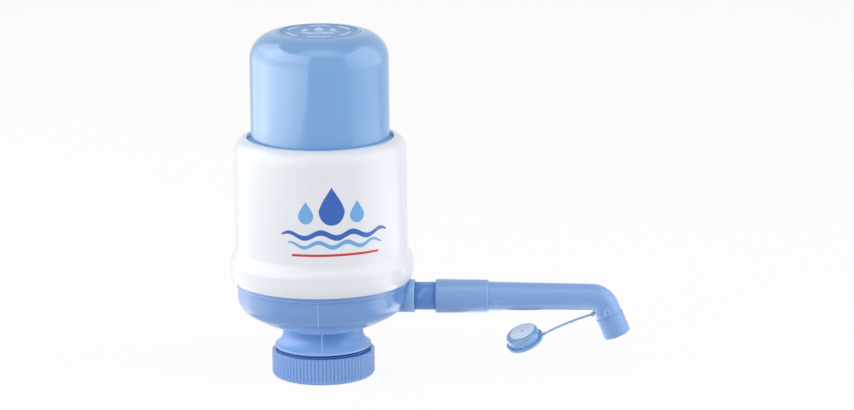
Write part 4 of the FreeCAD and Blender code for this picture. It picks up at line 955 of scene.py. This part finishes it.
def add_panel(name, rows, profile_across, profile_up, radiance):
    """A white cove that only reflections see.

    Rows are (distance, height, first azimuth, last azimuth). The profiles give the brightness
    at shares of the width and of the rows.
    """
    points, places = [], []
    for number, (distance, height, first, last) in enumerate(rows):
        for k in range(PANEL_COLUMNS + 1):
            across = k / PANEL_COLUMNS
            points.append(seen_from_camera(first + (last - first) * across, distance, height))
            places.append((across, number / (len(rows) - 1)))
    panel, tree = add_sheet(name, points, weave(len(rows), PANEL_COLUMNS + 1))
    panel.visible_camera = False
    panel.visible_diffuse = False
    panel.visible_shadow = False
    panel.visible_transmission = False
    layer = panel.data.uv_layers.new(name="UVMap")
    for loop in panel.data.loops:
        layer.data[loop.index].uv = places[loop.vertex_index]

    place = add_node(tree, "TexCoord").outputs["UV"]
    split = add_node(tree, "SeparateXYZ", links={0: place}).outputs
    across, up = [
        add_ramp(tree, split[axis], [(share, grey(value)) for share, value in profile], "EASE")
        for axis, profile in (("X", profile_across), ("Y", profile_up))]
    product = add_node(tree, "Math", links={0: across, 1: up}, operation="MULTIPLY")
    strength = add_node(tree, "Math", {1: radiance}, {0: product.outputs[0]},
                        operation="MULTIPLY")
    glow = add_node(tree, "Emission", links={"Strength": strength.outputs[0]})
    clear = add_node(tree, "BsdfTransparent")
    both = add_node(tree, "AddShader", links={0: glow.outputs[0], 1: clear.outputs[0]})
    add_node(tree, "OutputMaterial", links={"Surface": both.outputs[0]})


def wall_rows(first, last, heights):
    """Rows of a side panel's upright wall."""
    return [(COVE, height, first, last) for height in heights]


add_world()
add_floor()
add_panel("panel_left",
          [(0.09, ON_FLOOR, -66, -140), (0.30, ON_FLOOR, -60, -150),
           (COVE, ON_FLOOR, -50, -150), (COVE, 0.035, -30, -150)]
          + wall_rows(-15, -150, (0.07, 0.18, 0.23, 0.38, 0.46, 0.90, 0.95)),
          ((0, 0), (0.05, 0.45), (0.35, 0.75), (0.6, 1.0), (0.82, 0.45), (1, 0)),
          ((0, 0.3), (0.18, 0.36), (0.252, 0.5), (0.312, 1.0), (0.5, 1.0), (0.6, 0.72),
           (0.7, 0.72), (0.8, 1.0), (0.9, 1.0), (1, 0)), 5.2)
add_panel("panel_right",
          [(0.09, ON_FLOOR, 66, 120), (0.30, ON_FLOOR, 60, 125),
           (COVE, ON_FLOOR, 52, 125), (COVE, 0.09, 50, 112)]
          + wall_rows(41, 128, (0.14, 0.18, 0.38, 0.44, 0.85, 0.90)),
          ((0, 0), (0.1, 0.7), (0.5, 1.0), (0.8, 0.8), (1, 0)),
          ((0, 0.9), (0.2, 0.9), (0.3, 0.4), (0.413, 0.6), (0.453, 0.9), (0.556, 0.7),
           (0.667, 0.7), (0.778, 0.9), (0.889, 0.9), (1, 0)), 2.6)
add_panel("panel_top",
          [(0.75, 0.80, -70, 70), (0.55, 1.05, -70, 70), (0.30, 1.20, -70, 70),
           (0.05, 1.25, -70, 70)],
          ((0, 0), (0.25, 1.0), (0.75, 1.0), (1, 0)),
          ((0, 0), (0.35, 1.0), (0.7, 0.8), (1, 0)), 1.6)

# Name, azimuth, distance, lower and upper edge, width, radiance, height aimed at.
for softbox in (
        ("key_left", -68, 1.2, 0.10, 0.95, 0.9, 2.6, 0.1),
        ("key_right", 74, 1.2, 0.10, 0.95, 0.9, 2.7, 0.1),
        ("front_high", 0, 1.1, 0.60, 1.00, 1.2, 1.1, 0.05),
        ("top", 10, 0.5, 1.10, 1.70, 0.9, 1.4, 0.1),
        ("back_light", -151, 1.0, 0.55, 0.95, 0.8, 2.2, 0.05)):
    add_softbox(*softbox)

bpy.context.scene.view_settings.view_transform = "Standard"
